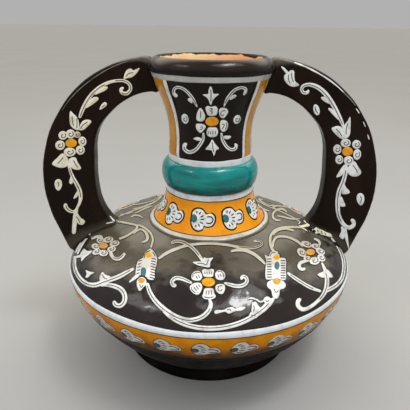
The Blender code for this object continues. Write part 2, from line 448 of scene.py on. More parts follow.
shoulder_glaze = glaze(
    "shoulder_glaze",
    ((0.008, 0.0045, 0.0035), (0.014, 0.008, 0.006), (0.026, 0.016, 0.012)),
    rough=(0.06, 0.15), swell=0.42, sheen=0.45,
    # The zone paints a taupe veil of reflected light round the top of the shoulder: painted reflection, with
    # a duller gloss
    zones=((0.12, 122.5, 129.5, 7.0, (0.084, 0.073, 0.049), 0.18),),
)
neck_glaze = glaze(
    "neck_glaze",
    ((0.005, 0.0025, 0.002), (0.009, 0.0048, 0.004), (0.016, 0.010, 0.008)),
    rough=(0.12, 0.24), sheen=0.15,
)
lip_glaze = glaze(
    "lip_glaze",
    ((0.010, 0.005, 0.003), (0.018, 0.009, 0.006), (0.034, 0.019, 0.013)),
    rough=(0.10, 0.20), sheen=0.26,
    zones=(
        # The first zone darkens the underside of the roll as painted shade; the second paints a taupe
        # reflection onto the lip's sides by the handles
        ("Z", 282.0, 279.6, 0.6, (0.002, 0.001, 0.0008), 0.3),
        (1.0, 334.0, 342.0, 4.0, (0.085, 0.074, 0.058), 0.2),
    ),
)
handle_glaze = glaze(
    "handle_glaze",
    ((0.006, 0.0028, 0.0012), (0.010, 0.0048, 0.0022), (0.020, 0.010, 0.005)),
    rough=(0.22, 0.40), stretch=(1.0, 1.0, 0.35), sheen=0.10,
    zones=(
        # Both zones paint a taupe reflection into the colour: on the handles' feet by the shoulder, and on
        # their tops by the lip
        (0.45, 181.0, 173.0, 2.0, (0.050, 0.043, 0.030), 0.0),
        ("Z", 281.5, 285.0, 2.0, (0.085, 0.074, 0.058), 0.0),
    ),
)
under_glaze = glaze(
    "under_glaze",
    ((0.0015, 0.0012, 0.001), (0.004, 0.003, 0.0022), (0.014, 0.010, 0.007)),
    rough=(0.35, 0.55), sheen=0.04,
)
band_yellow = glaze(
    "body_band_glaze",
    ((0.50, 0.16, 0.001), (0.68, 0.245, 0.001), (0.76, 0.31, 0.002)),
    rough=(0.12, 0.22), scale=40.0, sheen=0.06,
    zones=(
        # Both zones darken the band towards its bottom as painted shade, where the belly turns under
        ("Z", 87.0, 70.0, 5.0, (0.085, 0.032, 0.002), 0.0),
        ("Z", 70.0, 65.0, 2.0, (0.022, 0.010, 0.006), 0.0),
    ),
)
cone_yellow = glaze(
    "cone_band_glaze",
    ((0.76, 0.24, 0.002), (0.90, 0.32, 0.003), (0.94, 0.40, 0.008)),
    rough=(0.12, 0.22), scale=36.0, sheen=0.3,
)
strip_yellow = glaze(
    "neck_strip_glaze",
    ((0.40, 0.15, 0.002), (0.56, 0.24, 0.003), (0.66, 0.31, 0.008)),
    scale=60.0, sheen=0.25,
)
flower_yellow = glaze(
    "flower_yellow_glaze",
    ((0.66, 0.24, 0.002), (0.84, 0.36, 0.004), (0.88, 0.45, 0.012)),
    scale=220.0, sheen=0.3,
    zones=((-1.0, 36.0, 24.0, 1.0, (0.62, 0.29, 0.075), 0.1),),
)
teal_glaze = glaze(
    "teal_glaze",
    ((0.001, 0.13, 0.125), (0.001, 0.22, 0.21), (0.008, 0.31, 0.29)),
    rough=(0.08, 0.18), scale=26.0, stretch=(1.0, 1.0, 5.0), sheen=0.42,
    # The zone darkens the collar towards its bottom as painted shade
    zones=(("Z", 181.0, 173.0, 2.0, (0.001, 0.055, 0.055), 0.0),),
)
teal_spot = glaze(
    "teal_spot_glaze",
    ((0.008, 0.085, 0.095), (0.016, 0.145, 0.145), (0.05, 0.24, 0.22)),
    scale=260.0,
    # The zone darkens the spots on the belly band as painted shade, like the band's own zones
    zones=(("Z", 90.0, 86.0, 0.5, (0.003, 0.034, 0.046), 0.0),),
)
ring_slip = glaze(
    "ring_slip",
    ((0.56, 0.60, 0.62), (0.72, 0.76, 0.78), (0.78, 0.82, 0.84)),
    rough=(0.14, 0.26), scale=110.0, waver=0.4,
)
# Slip darkened as painted shade, for slip where shade falls: under the lip's overhang and on the belly where
# the body turns under
painted_shade_slip = glaze(
    "painted_shade_slip",
    ((0.40, 0.40, 0.38), (0.50, 0.50, 0.48), (0.58, 0.58, 0.56)),
    rough=(0.2, 0.35), scale=70.0, waver=0.4,
)
shoulder_slip = glaze(
    "shoulder_slip",
    ((0.50, 0.49, 0.46), (0.80, 0.80, 0.77), (0.88, 0.88, 0.85)),
    rough=(0.16, 0.30), scale=130.0, waver=0.6,
    # The zone dulls the slip to taupe round the top of the shoulder, under the same painted reflection as
    # the shoulder glaze
    zones=((0.12, 128.0, 137.0, 2.0, (0.46, 0.42, 0.31), 0.1),),
)
white_slip = glaze(
    "white_slip",
    ((0.52, 0.52, 0.50), (0.81, 0.82, 0.80), (0.89, 0.90, 0.88)),
    rough=(0.16, 0.30), scale=130.0, waver=0.6,
)
toe_slip = glaze(
    "toe_slip",
    ((0.36, 0.35, 0.28), (0.52, 0.51, 0.43), (0.64, 0.62, 0.54)),
    rough=(0.2, 0.35), scale=60.0, waver=0.4,
)
cream_slip = glaze(
    "cream_slip",
    ((0.60, 0.54, 0.36), (0.84, 0.80, 0.63), (0.90, 0.89, 0.80)),
    rough=(0.18, 0.32), scale=110.0, waver=0.6,
)
line_glaze = glaze(
    "line_glaze", ((0.006, 0.004, 0.004), (0.018, 0.012, 0.009)), rough=(0.3, 0.45), scale=120.0, sheen=0.2
)
# A grey for the dimmer parts of the painted edge highlights on the handles
painted_edge_sheen = glaze(
    "painted_edge_sheen",
    ((0.07, 0.06, 0.05), (0.16, 0.15, 0.13), (0.26, 0.25, 0.22)),
    rough=(0.3, 0.5), scale=90.0,
)
bare_clay = glaze(
    "bare_clay",
    ((0.62, 0.34, 0.16), (0.80, 0.52, 0.27), (0.86, 0.63, 0.38)),
    rough=(0.55, 0.75), scale=70.0, waver=0.8,
)
mouth_clay = glaze(
    "mouth_clay",
    ((0.70, 0.42, 0.18), (0.88, 0.64, 0.33), (0.92, 0.74, 0.44)),
    rough=(0.35, 0.5), scale=40.0, waver=0.6, sheen=0.2,
    zones=(
        ("X", -14.0, 30.0, 8.0, (0.84, 0.43, 0.21), 0.0),
        ("Z", 286.9, 287.4, 1.8, (0.012, 0.006, 0.004), 0.0),
    ),
)


# Thrown skins
def make_foot():
    outer = foot_high.x
    inner = outer - foot_spread - foot_width
    corner = (outer, foot_round)
    runs = (
        ([(foot_neck_radius - foot_spread, foot_high.z)], 0),
        (curved_run([(foot_neck_radius, foot_high.z), (outer, foot_high.z / 2.0), corner], short_steps), 0),
        (curved_run([corner, (outer, 0.0), (outer - foot_spread - foot_round, 0.0)], corner_steps), 0),
        ([(inner, 0.0), (inner - foot_round, foot_round), (inner - foot_round, foot_high.z)], 1),
    )
    return turned("foot_skin", runs, (under_glaze, bare_clay), "aubergine_glaze", "foot_ring")


def make_bowl():
    outside = bowl_run(run_steps)
    floor = bowl_low.z + floor_thickness
    inside = [point for point in offset_run(outside, wall) if point[1] > floor + wall]
    bend = (between(foot_neck_radius, inside[-1][0], 0.5), floor)
    runs = ((outside + [(0.0, bowl_low.z)], 0), ([(0.0, floor), bend] + inside[::-1], 1))
    return turned("bowl_skin", runs, (under_glaze, bare_clay), "aubergine_glaze", "lower_bowl")


def make_shoulder():
    outside = shoulder_run(run_steps)
    inside = offset_run(outside, wall)
    hole = base_high.x - 2.0 * wall
    runs = (([(hole, shoulder_top)] + outside, 0), (inside[::-1] + [(hole, shoulder_top - wall)], 1))
    return turned("shoulder_skin", runs, (shoulder_glaze, bare_clay), "aubergine_glaze", "shoulder")


def make_base():
    outside = base_run(run_steps)
    hole = base_high.x - 2.0 * wall
    top = [(neck_waist_radius - wall / 2.0, collar_top), (base_ledge_radius - wall / 2.0, collar_bottom)]
    throat = [(throat_radius, collar_top), (throat_radius, base_pull_height)]
    throat += [(hole, base_low.z + wall), (hole, base_low.z)]
    runs = (
        (top + outside, 0),
        (toe_run(outside[-1], toe_steps), 2),
        (curved_run(throat, short_steps)[::-1], 1),
    )
    materials = (cone_yellow, bare_clay, shoulder_glaze)
    return turned("neck_base_skin", runs, materials, "cone_band_glaze", "neck_base")


def make_collar():
    bore = neck_waist_radius - wall / 2.0
    run = collar_run(run_steps) + [(bore, collar_bottom), (bore, collar_top)]
    return turned("collar_skin", ((run, 0),), (teal_glaze,), "teal_glaze", "collar_ring")


def make_neck():
    outside = neck_run(run_steps)
    bottom = between(collar_bottom, collar_top, 0.5)
    inside = [(throat_radius, bottom)] + [(radius - wall, height) for radius, height in outside[::-1]]
    runs = ((outside + [(neck_waist_radius - wall / 2.0, bottom)], 0), (inside, 1))
    return turned("neck_skin", runs, (neck_glaze, bare_clay), "aubergine_glaze", "neck")


def make_lip():
    mouth = [(lip_mouth_radius, height) for height in (lip_high.z - lip_roll_drop, lip_high.z)]
    roll = curved_run(mouth + [(lip_crest_radius, lip_high.z)], short_steps)
    runs = ((lip_run(short_steps), 0), ([(lip_mouth_radius, neck_high.z)] + roll[:-1], 1))
    return turned("lip_skin", runs, (lip_glaze, mouth_clay), "aubergine_glaze", "rim_lip")


def tree_of(*pieces):
    """One search tree over the faces of several pieces."""
    points = []
    faces = []
    for piece in pieces:
        start = len(points)
        points += [vertex.co.copy() for vertex in piece.data.vertices]
        faces += [tuple(start + index for index in face.vertices) for face in piece.data.polygons]
    return BVHTree.FromPolygons(points, faces)


make_foot()
bowl_skin = make_bowl()
shoulder_skin = make_shoulder()
base_skin = make_base()
collar_skin = make_collar()
neck_skin = make_neck()
lip_skin = make_lip()
vase_tree = tree_of(bowl_skin, shoulder_skin, base_skin, collar_skin, neck_skin, lip_skin)

# Handles: their softness, and how their ends sink into the vase and flare out on it
handle_voxel = 1.3 * MM
handle_smoothing = 6
handle_softness = 0.5
handle_weld = 0.01 * MM
fillet_reach = 7.0 * MM
fillet_spread = 3.4 * MM
fillet_top_gap = 0.4 * MM
end_facing = -0.4
lip_seat_low = 279.0 * MM
lip_sink = 3.6 * MM
handle_sink = 1.2 * MM
handle_lumps = 0.35 * MM
lump_scale = 38.0
lump_inward = 0.6


def clay_of(node):
    """The CAD solid of a node, remeshed finely and smoothed."""
    rough = add_object(node + "_rough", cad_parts[node].data.copy())
    rough.modifiers.new("Weld", "WELD").merge_threshold = handle_weld
    remesh = rough.modifiers.new("Remesh", "REMESH")
    remesh.mode = "VOXEL"
    remesh.voxel_size = handle_voxel
    remesh.adaptivity = 0.0
    smooth = rough.modifiers.new("Smooth", "SMOOTH")
    smooth.factor = handle_softness
    smooth.iterations = handle_smoothing
    bpy.context.view_layer.update()
    graph = bpy.context.evaluated_depsgraph_get()
    mesh = bpy.data.meshes.new_from_object(rough.evaluated_get(graph))
    bpy.data.objects.remove(rough)
    mesh.name = node + "_skin"
    return mesh


def luted(point, normal):
    """A point of a handle, moved onto the vase and flared out where it is close to it."""
    near, wall_normal, index, gap = vase_tree.find_nearest(point)
    if gap >= fillet_reach:
        return point
    share = 1.0 - gap / fillet_reach
    along = normal - wall_normal * normal.dot(wall_normal)
    on_lip = near.z > lip_seat_low
    if on_lip:
        along.z = min(along.z, 0.0)
    point += along * fillet_spread * share * share
    if gap < handle_voxel or normal.dot(wall_normal) < end_facing:
        point -= wall_normal * (gap + (lip_sink if on_lip else handle_sink))
    point.z = min(point.z, lip_high.z - fillet_top_gap)
    return point


def make_handle(node):
    """A handle as soft clay: a little lumpy, and flared out where it is luted on."""
    mesh = clay_of(node)
    for vertex in mesh.vertices:
        point = vertex.co.copy()
        normal = vertex.normal.copy()
        point += normal * handle_lumps * (noise.noise(point * lump_scale) - lump_inward)
        vertex.co = luted(point, normal)
    mesh.materials.clear()
    mesh.materials.append(handle_glaze)
    mesh.shade_smooth()
    return keep(add_object(mesh.name, mesh), "aubergine_glaze", node)


left_skin = make_handle("handle_left")
right_skin = make_handle("handle_right")


# Placing by the photograph
def pixel_ray(x, y):
    direction = camera_turn @ Vector(((x - axis_px[0]) / focal_px, (axis_px[1] - y) / focal_px, -1.0))
    return direction.normalized()


def seen_on(*pieces):
    """Gives a function that lays a pixel of the photograph on pieces, raised by a lift.

    A pixel beside the pieces goes to their nearest place, at the distance of the last one that met them.
    """
    tree = tree_of(*pieces)
    last = [camera_place.length]

    def place(x, y, lift):
        direction = pixel_ray(x, y)
        point, normal, index, distance = tree.ray_cast(camera_place, direction)
        if point is None:
            point, normal, index, gap = tree.find_nearest(camera_place + direction * last[0])
        else:
            last[0] = distance
        return point + normal * lift

    return place


def wrapped_on(run, angle, height, scale):
    """Gives a function that lays a motif drawn in millimetres on a turned wall, at an angle and height."""
    lengths = [0.0]
    for before, after in zip(run, run[1:]):
        lengths.append(lengths[-1] + math.dist(before, after))
    start = max(length for length, (radius, level) in zip(lengths, run) if level >= height)

    def place(x, y, lift):
        length = start - y * scale
        index = 1
        while length > lengths[index] and index < len(run) - 1:
            index += 1
        before, after = run[index - 1], run[index]
        span = lengths[index] - lengths[index - 1]
        radius, level = blend(before, after, (length - lengths[index - 1]) / span)
        out = (before[1] - after[1]) / span
        up = (after[0] - before[0]) / span
        return on_turn(angle + x * scale / radius, radius + out * lift, level + up * lift)

    return place


def spline(points, closed=False):
    """A smooth run through given points."""
    count = len(points)
    dense = []
    for index in range(count if closed else count - 1):
        if closed:
            before, here, there, after = (points[(index + shift) % count] for shift in (-1, 0, 1, 2))
        else:
            here, there = points[index], points[index + 1]
            before = points[max(index - 1, 0)]
            after = points[min(index + 2, count - 1)]
        steps = max(int(math.dist(here[:2], there[:2]) / stroke_step_px), 2)
        for step in range(steps):
            t = step / steps
            shares = (
                -(t**3 - 2 * t**2 + t) / 2.0,
                (2 * t**3 - 3 * t**2 + 1) - (t**3 - t**2) / 2.0,
                (3 * t**2 - 2 * t**3) + (t**3 - 2 * t**2 + t) / 2.0,
                (t**3 - t**2) / 2.0,
            )
            values = zip(before, here, there, after)
            dense.append(tuple(sum(share * part for share, part in zip(shares, value)) for value in values))
    if not closed:
        dense.append(tuple(points[-1]))
    return dense


def tilted(x, y, across, up, tilt):
    """A place that lies across and up from x, y, turned about it by a tilt in degrees."""
    cosine = math.cos(math.radians(tilt))
    sine = math.sin(math.radians(tilt))
    return x + across * cosine - up * sine, y + across * sine + up * cosine


def oval(x, y, wide, tall, tilt=0.0, egg=0.0):
    """Outline of an oval, egg-shaped towards its top by the share egg, tilted in degrees."""
    outline = []
    for step in range(oval_points):
        angle = math.tau * step / oval_points
        across = math.cos(angle) * wide * (1.0 + egg * math.sin(angle))
        outline.append(tilted(x, y, across, -math.sin(angle) * tall, tilt))
    return outline


def beside(path, offset, start, end):
    """Points that follow a stroke at a share of its half width, between two shares of its length."""
    dense = spline(path)
    last = len(dense) - 1
    first = int(last * start)
    final = max(int(last * end), first + 2)
    points = []
    for index in range(first, min(final, last) + 1, 2):
        x, y, width = dense[index]
        across = across_at(dense, index)
        points.append((x + across[0] * offset * width / 2.0, y + across[1] * offset * width / 2.0))
    return points


class Layer:
    """Raised shapes of one colour, gathered into one mesh of closed shells."""

    def __init__(self):
        self.points = []
        self.faces = []

    def shell(self, rings, capped=True):
        """Joins closed rings of equal count into a shell. One that isn't capped closes on itself."""
        start = len(self.points)
        count = len(rings[0])
        for ring in rings:
            self.points += ring
        for level in range(len(rings) - 1):
            here = start + level * count
            there = here + count
            for index in range(count):
                after = (index + 1) % count
                self.faces.append((here + index, here + after, there + after, there + index))
        if capped:
            for end in (start, start + (len(rings) - 1) * count):
                self.faces.append(tuple(range(end, end + count)))

    def stroke(self, place, path, lift=slip_lift, grow=0.0, floor=-sink):
        """A brush stroke along (x, y, width), low and round in section, with round ends."""
        dense = spline(path)
        travelled = [0.0]
        for before, after in zip(dense, dense[1:]):
            travelled.append(travelled[-1] + math.dist(before[:2], after[:2]))
        rings = []
        for index, (x, y, width) in enumerate(dense):
            half = max(width / 2.0, least_half_px) + grow
            end = min(travelled[index], travelled[-1] - travelled[index])
            if end < half:
                half *= math.sqrt(max(1.0 - (1.0 - end / half) ** 2, least_end_share))
            side, up = across_at(dense, index)
            rings.append([
                place(x + side * share * half, y + up * share * half, between(floor, lift, rise))
                for share, rise in SECTION
            ])
        self.shell(rings)

    def patch(self, place, outline, lift=slip_lift, grow=0.0, floor=-sink):
        """A filled shape inside a smooth outline, raised like a pool of slip."""
        dense = spline(outline, closed=True)
        middle = (sum(x for x, y in dense) / len(dense), sum(y for x, y in dense) / len(dense))
        edge = [blend(middle, point, 1.0 + grow / (math.dist(point, middle) or 1.0)) for point in dense]
        self.shell([
            [place(*blend(middle, point, share), between(floor, lift, rise)) for point in edge]
            for share, rise in POOL
        ])

    def add(self, other, turn):
        """Takes in the shapes of another layer, turned by a matrix."""
        start = len(self.points)
        self.points += [turn @ point for point in other.points]
        self.faces += [tuple(start + index for index in face) for face in other.faces]

    def piece(self, name, material, slot):
        return keep(mesh_object(name, self.points, self.faces, [material]), slot)


class Ornament:
    """A painted group: slip, its dark outline, fine dark lines, yellow and teal, on one carrier."""

    def __init__(self, place, rim=outline_px):
        self.place = place
        self.rim = rim
        self.layers = {key: Layer() for key in ("slip", "outline", "line", "yellow", "teal")}

    def stroke(self, path, lines=()):
        """A slip stroke. Each of lines is (offset share, start share, end share) of a fine dark line."""
        self.layers["outline"].stroke(self.place, path, outline_lift, self.rim)
        self.layers["slip"].stroke(self.place, path)
        for line in lines:
            self.line(beside(path, *line))

    def patch(self, outline):
        self.layers["outline"].patch(self.place, outline, outline_lift, self.rim)
        self.layers["slip"].patch(self.place, outline)

    def dot(self, *shape):
        self.patch(oval(*shape))

    def line(self, points, width=fine_line_px):
        path = [(x, y, width) for x, y in points]
        self.layers["line"].stroke(self.place, path, slip_lift + line_rise, 0.0, slip_lift - sink)

    def hatch(self, start, end, count, length, tilt=0.0):
        """A row of short dark ticks across a wing."""
        for index in range(count):
            x, y = blend(start, end, index / (count - 1))
            self.line(((x, y), (x + length / 2.0, y + tilt / 2.0), (x + length, y + tilt)), hatch_px)

    def spot(self, key, *shape):
        """An oval of yellow or teal, with a dark edge."""
        outline = oval(*shape)
        edge_lift = slip_lift + line_rise / 2.0
        self.layers["outline"].patch(self.place, outline, edge_lift, outline_px / 2.0, 0.0)
        self.layers[key].patch(self.place, outline, colour_lift, 0.0, 0.0)

    def petal(self, x, y, wide, tall, tilt=0.0):
        """A round petal with a spiral line in it."""
        self.dot(x, y, wide, tall, tilt)
        coil = []
        for step in range(coil_points):
            angle = coil_start + step * coil_turn
            reach = between(*coil_reach, step / (coil_points - 1))
            coil.append(tilted(x, y, math.cos(angle) * wide * reach, math.sin(angle) * tall * reach, tilt))
        self.line(coil)

    def draw(self, shapes):
        """Draws shapes in turn. Each is the name of a method above and what it takes."""
        kinds = {"stroke": self.stroke, "patch": self.patch, "dot": self.dot, "line": self.line}
        kinds.update({"hatch": self.hatch, "spot": self.spot, "petal": self.petal})
        for kind, *given in shapes:
            kinds[kind](*given)

    def pieces(self, name, slip, turns):
        """Makes the pieces, repeated at each of the turns."""
        looks = {
            "slip": (slip, "white_slip"),
            "outline": (line_glaze, "aubergine_glaze"),
            "line": (line_glaze, "aubergine_glaze"),
            "yellow": (flower_yellow, "cone_band_glaze"),
            "teal": (teal_spot, "teal_glaze"),
        }
        for key, layer in self.layers.items():
            if not layer.points:
                continue
            whole = Layer()
            for turn in turns:
                whole.add(layer, turn)
            whole.piece(name + "_" + key, *looks[key])


def draw_group(name, place, shapes, slip, turns):
    art = Ornament(place)
    art.draw(shapes)
    art.pieces(name, slip, turns)


# Turned bands, rings and strips
def radius_at(run, height):
    """Radius of a wall at a height, from a run that goes down."""
    for (high_radius, high), (low_radius, low) in zip(run, run[1:]):
        if low <= height <= high:
            return between(high_radius, low_radius, (high - height) / max(high - low, merge_distance))
    return run[-1][0] if height < run[-1][1] else run[0][0]


def swayed(edge, angle):
    """Height of a brushed edge, given as (height, phase), at an angle."""
    height, phase = edge
    across = Vector((math.sin(angle) * edge_waves, math.cos(angle) * edge_waves, phase))
    return height + edge_sway * noise.noise(across)


def raised(run, angle, height, lift):
    """A point that stands off a turned wall, square to it."""
    above = radius_at(run, height + slope_reach)
    below = radius_at(run, height - slope_reach)
    slope = (below - above) / (2.0 * slope_reach)
    length = math.hypot(1.0, slope)
    return on_turn(angle, radius_at(run, height) + lift / length, height + lift * slope / length)


def wall_band(name, run, top, bottom, material, slot, lift=band_lift, angles=None):
    """A thin raised band round a wall, or over part of the turn, whose edges waver as a brush does."""
    start, end = angles or (0.0, math.tau)
    steps = max(int(around_steps * (end - start) / math.tau), least_steps)
    levels = max(int((top[0] - bottom[0]) / band_step), band_levels)
    rings = []
    for turn in range(steps + 1):
        angle = between(start, end, turn / steps)
        high = swayed(top, angle)
        low = swayed(bottom, angle)
        outside = []
        inside = []
        for level in range(levels):
            share = level / (levels - 1)
            height = between(high, low, share)
            edge = min(share, 1.0 - share) * (levels - 1)
            rise = lift * min(between(band_edge_share, 1.0, edge), 1.0)
            outside.append(raised(run, angle, height, rise))
            inside.append(raised(run, angle, height, -sink))
        rings.append(outside + inside[::-1])
    layer = Layer()
    layer.shell(rings, capped=angles is not None)
    return layer.piece(name, material, slot)


def edge_line(name, run, edge):
    """A thin dark line along an edge between two glazes."""
    height, phase = edge
    top = (height + edge_line_half, phase)
    bottom = (height - edge_line_half, phase)
    wall_band(name, run, top, bottom, line_glaze, "aubergine_glaze", ring_lift + line_rise)


least_steps = 4
band_levels = 9
band_step = 2.6 * MM
band_edge_share = 0.35
edge_waves = 3.0
edge_sway = 0.45 * MM
edge_line_half = 0.32 * MM
slope_reach = 0.4 * MM
lip_ring_top = (276.0 * MM, 1.0)
lip_ring_low = (271.5 * MM, 2.0)
waist_ring_top = (202.6 * MM, 3.0)
waist_ring_low = (196.8 * MM, 4.0)
cone_ring_top = (170.6 * MM, 5.0)
cone_ring_low = (165.6 * MM, 6.0)
toe_ring_top = (137.0 * MM, 7.0)
toe_ring_low = (135.2 * MM, 8.0)
belly_ring_top = (97.2 * MM, 9.0)
belly_ring_low = (92.2 * MM, 10.0)
belly_band_low = (63.0 * MM, 11.0)
belly_line_low = (62.2 * MM, 11.0)
strips_left_deg = ((45.4, 50.4), (51.6, 73.6), (74.4, 78.6))
strips_right_deg = ((47.6, 51.8), (53.0, 70.6), (71.4, 75.6))


def make_rings():
    neck = lip_run(short_steps)[short_steps:] + neck_run(run_steps)
    base = base_run(run_steps)
    foot = base + toe_run(base[-1], short_steps)
    body = shoulder_run(run_steps)[:-1] + bowl_run(run_steps)
    white = (ring_slip, "white_slip", ring_lift)
    # The ring under the lip, the outer neck strips and the line under the band use the slip darkened as
    # painted shade
    wall_band("ring_under_lip", neck, lip_ring_top, lip_ring_low, painted_shade_slip, "white_slip", ring_lift)
    wall_band("ring_over_collar", neck, waist_ring_top, waist_ring_low, *white)
    wall_band("ring_under_collar", base, cone_ring_top, cone_ring_low, *white)
    wall_band("ring_on_toe", foot, toe_ring_top, toe_ring_low, toe_slip, "white_slip", ring_lift)
    wall_band("ring_on_belly", body, belly_ring_top, belly_ring_low, *white)
    wall_band("band_on_belly", body, belly_ring_low, belly_band_low, band_yellow, "body_band_glaze")
    wall_band("line_under_band", body, belly_band_low, belly_line_low, painted_shade_slip, "white_slip")
    edge_line("edge_under_collar", base, cone_ring_low)
    edge_line("edge_on_toe", foot, toe_ring_top)
    edge_line("edge_on_belly", body, belly_ring_low)
    edge_line("edge_under_band", body, belly_band_low)
    strips = (
        ("strip_inner_", white_slip, "white_slip", ring_lift),
        ("strip_yellow_", strip_yellow, "body_band_glaze", band_lift),
        ("strip_outer_", painted_shade_slip, "white_slip", band_lift),
    )
    for middle, face in ((0.0, "front"), (math.pi, "rear")):
        for side, hand, edges_deg in ((-1.0, "left_", strips_left_deg), (1.0, "right_", strips_right_deg)):
            for edges, (part, *look) in zip(edges_deg, strips):
                ends = sorted(middle + side * math.radians(edge) for edge in edges)
                wall_band(part + hand + face, neck, lip_ring_low, waist_ring_top, *look, ends)


# The ornament, in pixels. A stroke is a path of (x, y, width) and its fine lines, a patch an outline, a line
# a path and its width. A dot, a petal and a spot are x, y, half width, half height, tilt and egg shape, the
# spot after its colour. A hatch is the place of its first and last tick, and their count, length and rise.
neck_drawing = (
    # Leaflets
    ("stroke", ((192.5, 103, 1.5), (190.3, 100.3, 4), (188.2, 98.3, 2.6))),
    ("stroke", ((229.5, 99.5, 1.5), (233, 96.8, 3.8), (236.3, 95.2, 2.6))),
    ("stroke", ((201.5, 140, 2.5), (198, 138.8, 4), (193.6, 138.6, 1.4))),
    ("stroke", ((223.3, 136.5, 2.2), (227, 137.5, 4.4), (230.8, 136.3, 2))),
    # Scrolls
    ("stroke", (
        (197.3, 107, 1.2), (193.5, 99.5, 3.2), (188.5, 93, 3.4), (183.5, 88.8, 3.2), (178, 87.2, 3.2),
        (174.3, 89.2, 3.4), (174.2, 93.5, 3.6), (177.5, 96.6, 4.4),
    ), ((0.1, 0.1, 0.9),)),
    ("stroke", (
        (223.8, 106.5, 1.2), (226.5, 100, 3.4), (230.3, 94.3, 3.6), (235, 89.8, 3.4), (240.5, 87.6, 3.2),
        (245.3, 88.6, 3.4), (245.2, 91.8, 3.4), (243.2, 95, 2.4),
    ), ((-0.1, 0.1, 0.9),)),
    ("stroke", (
        (203.3, 132.5, 2), (203.2, 138.5, 3.4), (199.8, 145, 3.8), (195, 150.3, 4), (189.5, 152.2, 4),
        (185, 149.5, 4.2), (184.6, 145.3, 4.4), (187.3, 143.8, 4.4),
    ), ((0.1, 0.1, 0.9),)),
    ("stroke", (
        (221.3, 132.5, 2), (222.3, 139, 3.4), (225.5, 145.3, 3.6), (230, 149.3, 3.6), (234.6, 149, 3.8),
        (236, 145.6, 3.6), (234.4, 143.8, 3),
    ), ((-0.1, 0.1, 0.9),)),
    # Trefoils and the dots beside the flower
    ("patch", (
        (210.6, 85.6), (212.7, 89.5), (213.6, 93.3), (219.3, 93.8), (215.6, 97.4), (212.7, 101),
        (211.4, 105), (210, 105), (208.7, 101), (206.4, 97.6), (202.3, 94.4), (207.8, 93.6), (208.4, 89.5),
    )),
    ("line", ((210.8, 89), (211, 95), (210.8, 101))),
    ("patch", (
        (212.2, 139), (215, 143), (219.3, 148.6), (216.4, 150.4), (214, 156.5), (211.6, 150.8),
        (205.2, 149.4), (208.8, 144.5),
    )),
    ("line", ((212, 142), (212.8, 147), (213.6, 152))),
    ("petal", 185.2, 118.7, 3.7, 5.5, -14),
    ("petal", 236.9, 119.3, 3.7, 5, 22),
    # Flower
    ("patch", (
        (205.1, 107.5), (207.4, 105.5), (211.4, 106.3), (215.4, 105.5), (217.8, 107.8), (217.8, 111.5),
        (216.4, 115.2), (211.6, 116.2), (207.8, 115.4), (206, 111.5),
    )),
    ("patch", (
        (218.9, 109.2), (222.2, 107.2), (226.6, 108.2), (228.4, 111.5), (226.7, 115.2), (223.8, 118.4),
        (220.3, 117.4), (218.9, 113.6),
    )),
    ("patch", (
        (220.5, 120.4), (224.2, 119.4), (227.6, 121.8), (228.2, 126), (226.6, 130.2), (223.2, 132.2),
        (220.4, 130), (219.6, 125.4),
    )),
    ("patch", (
        (208, 127.4), (212.6, 127), (216.8, 127.4), (218.4, 132.2), (216.6, 136.4), (212.2, 137.6),
        (207.7, 136.2), (206.1, 132.4),
    )),
    ("patch", (
        (196, 123.7), (199.8, 123.3), (204.5, 124.2), (206.2, 126.8), (204.1, 130.1), (200.6, 133.2),
        (197.3, 130.9), (195.7, 127.2),
    )),
    ("patch", (
        (200.6, 107.3), (203.5, 110.6), (205.4, 115.8), (204.4, 120.4), (200.6, 121.9), (196.6, 120.2),
        (196.4, 114.8), (198.2, 109.6),
    )),
    ("line", ((209.6, 108.6), (212.4, 108.4), (210.6, 110.8), (212.6, 111.8), (211, 113.6))),
    ("line", ((225, 110.2), (221.8, 111), (220.6, 114), (222.4, 115.6), (223.8, 113.6))),
    ("line", ((221.4, 124.4), (224, 124.2), (223.2, 127.2), (221.6, 129.2))),
    ("line", ((225.8, 122.4), (226.6, 126), (225, 129.6))),
    ("line", ((208.4, 130.8), (208.2, 132.4), (208.4, 134.2))),
    ("line", ((210.6, 130.6), (210.4, 132.6), (210.6, 134.6))),
    ("line", ((212.9, 130.6), (212.9, 132.6), (212.9, 134.6))),
    ("line", ((215.2, 130.8), (215.4, 132.4), (215.2, 134.2))),
    ("line", ((200.2, 127.2), (202.4, 126.6), (202.2, 128.6), (199.8, 129.6))),
    ("line", ((200.6, 110.6), (200.9, 114), (200.4, 118))),
    ("spot", "yellow", 212, 121.3, 7, 5.2),
)
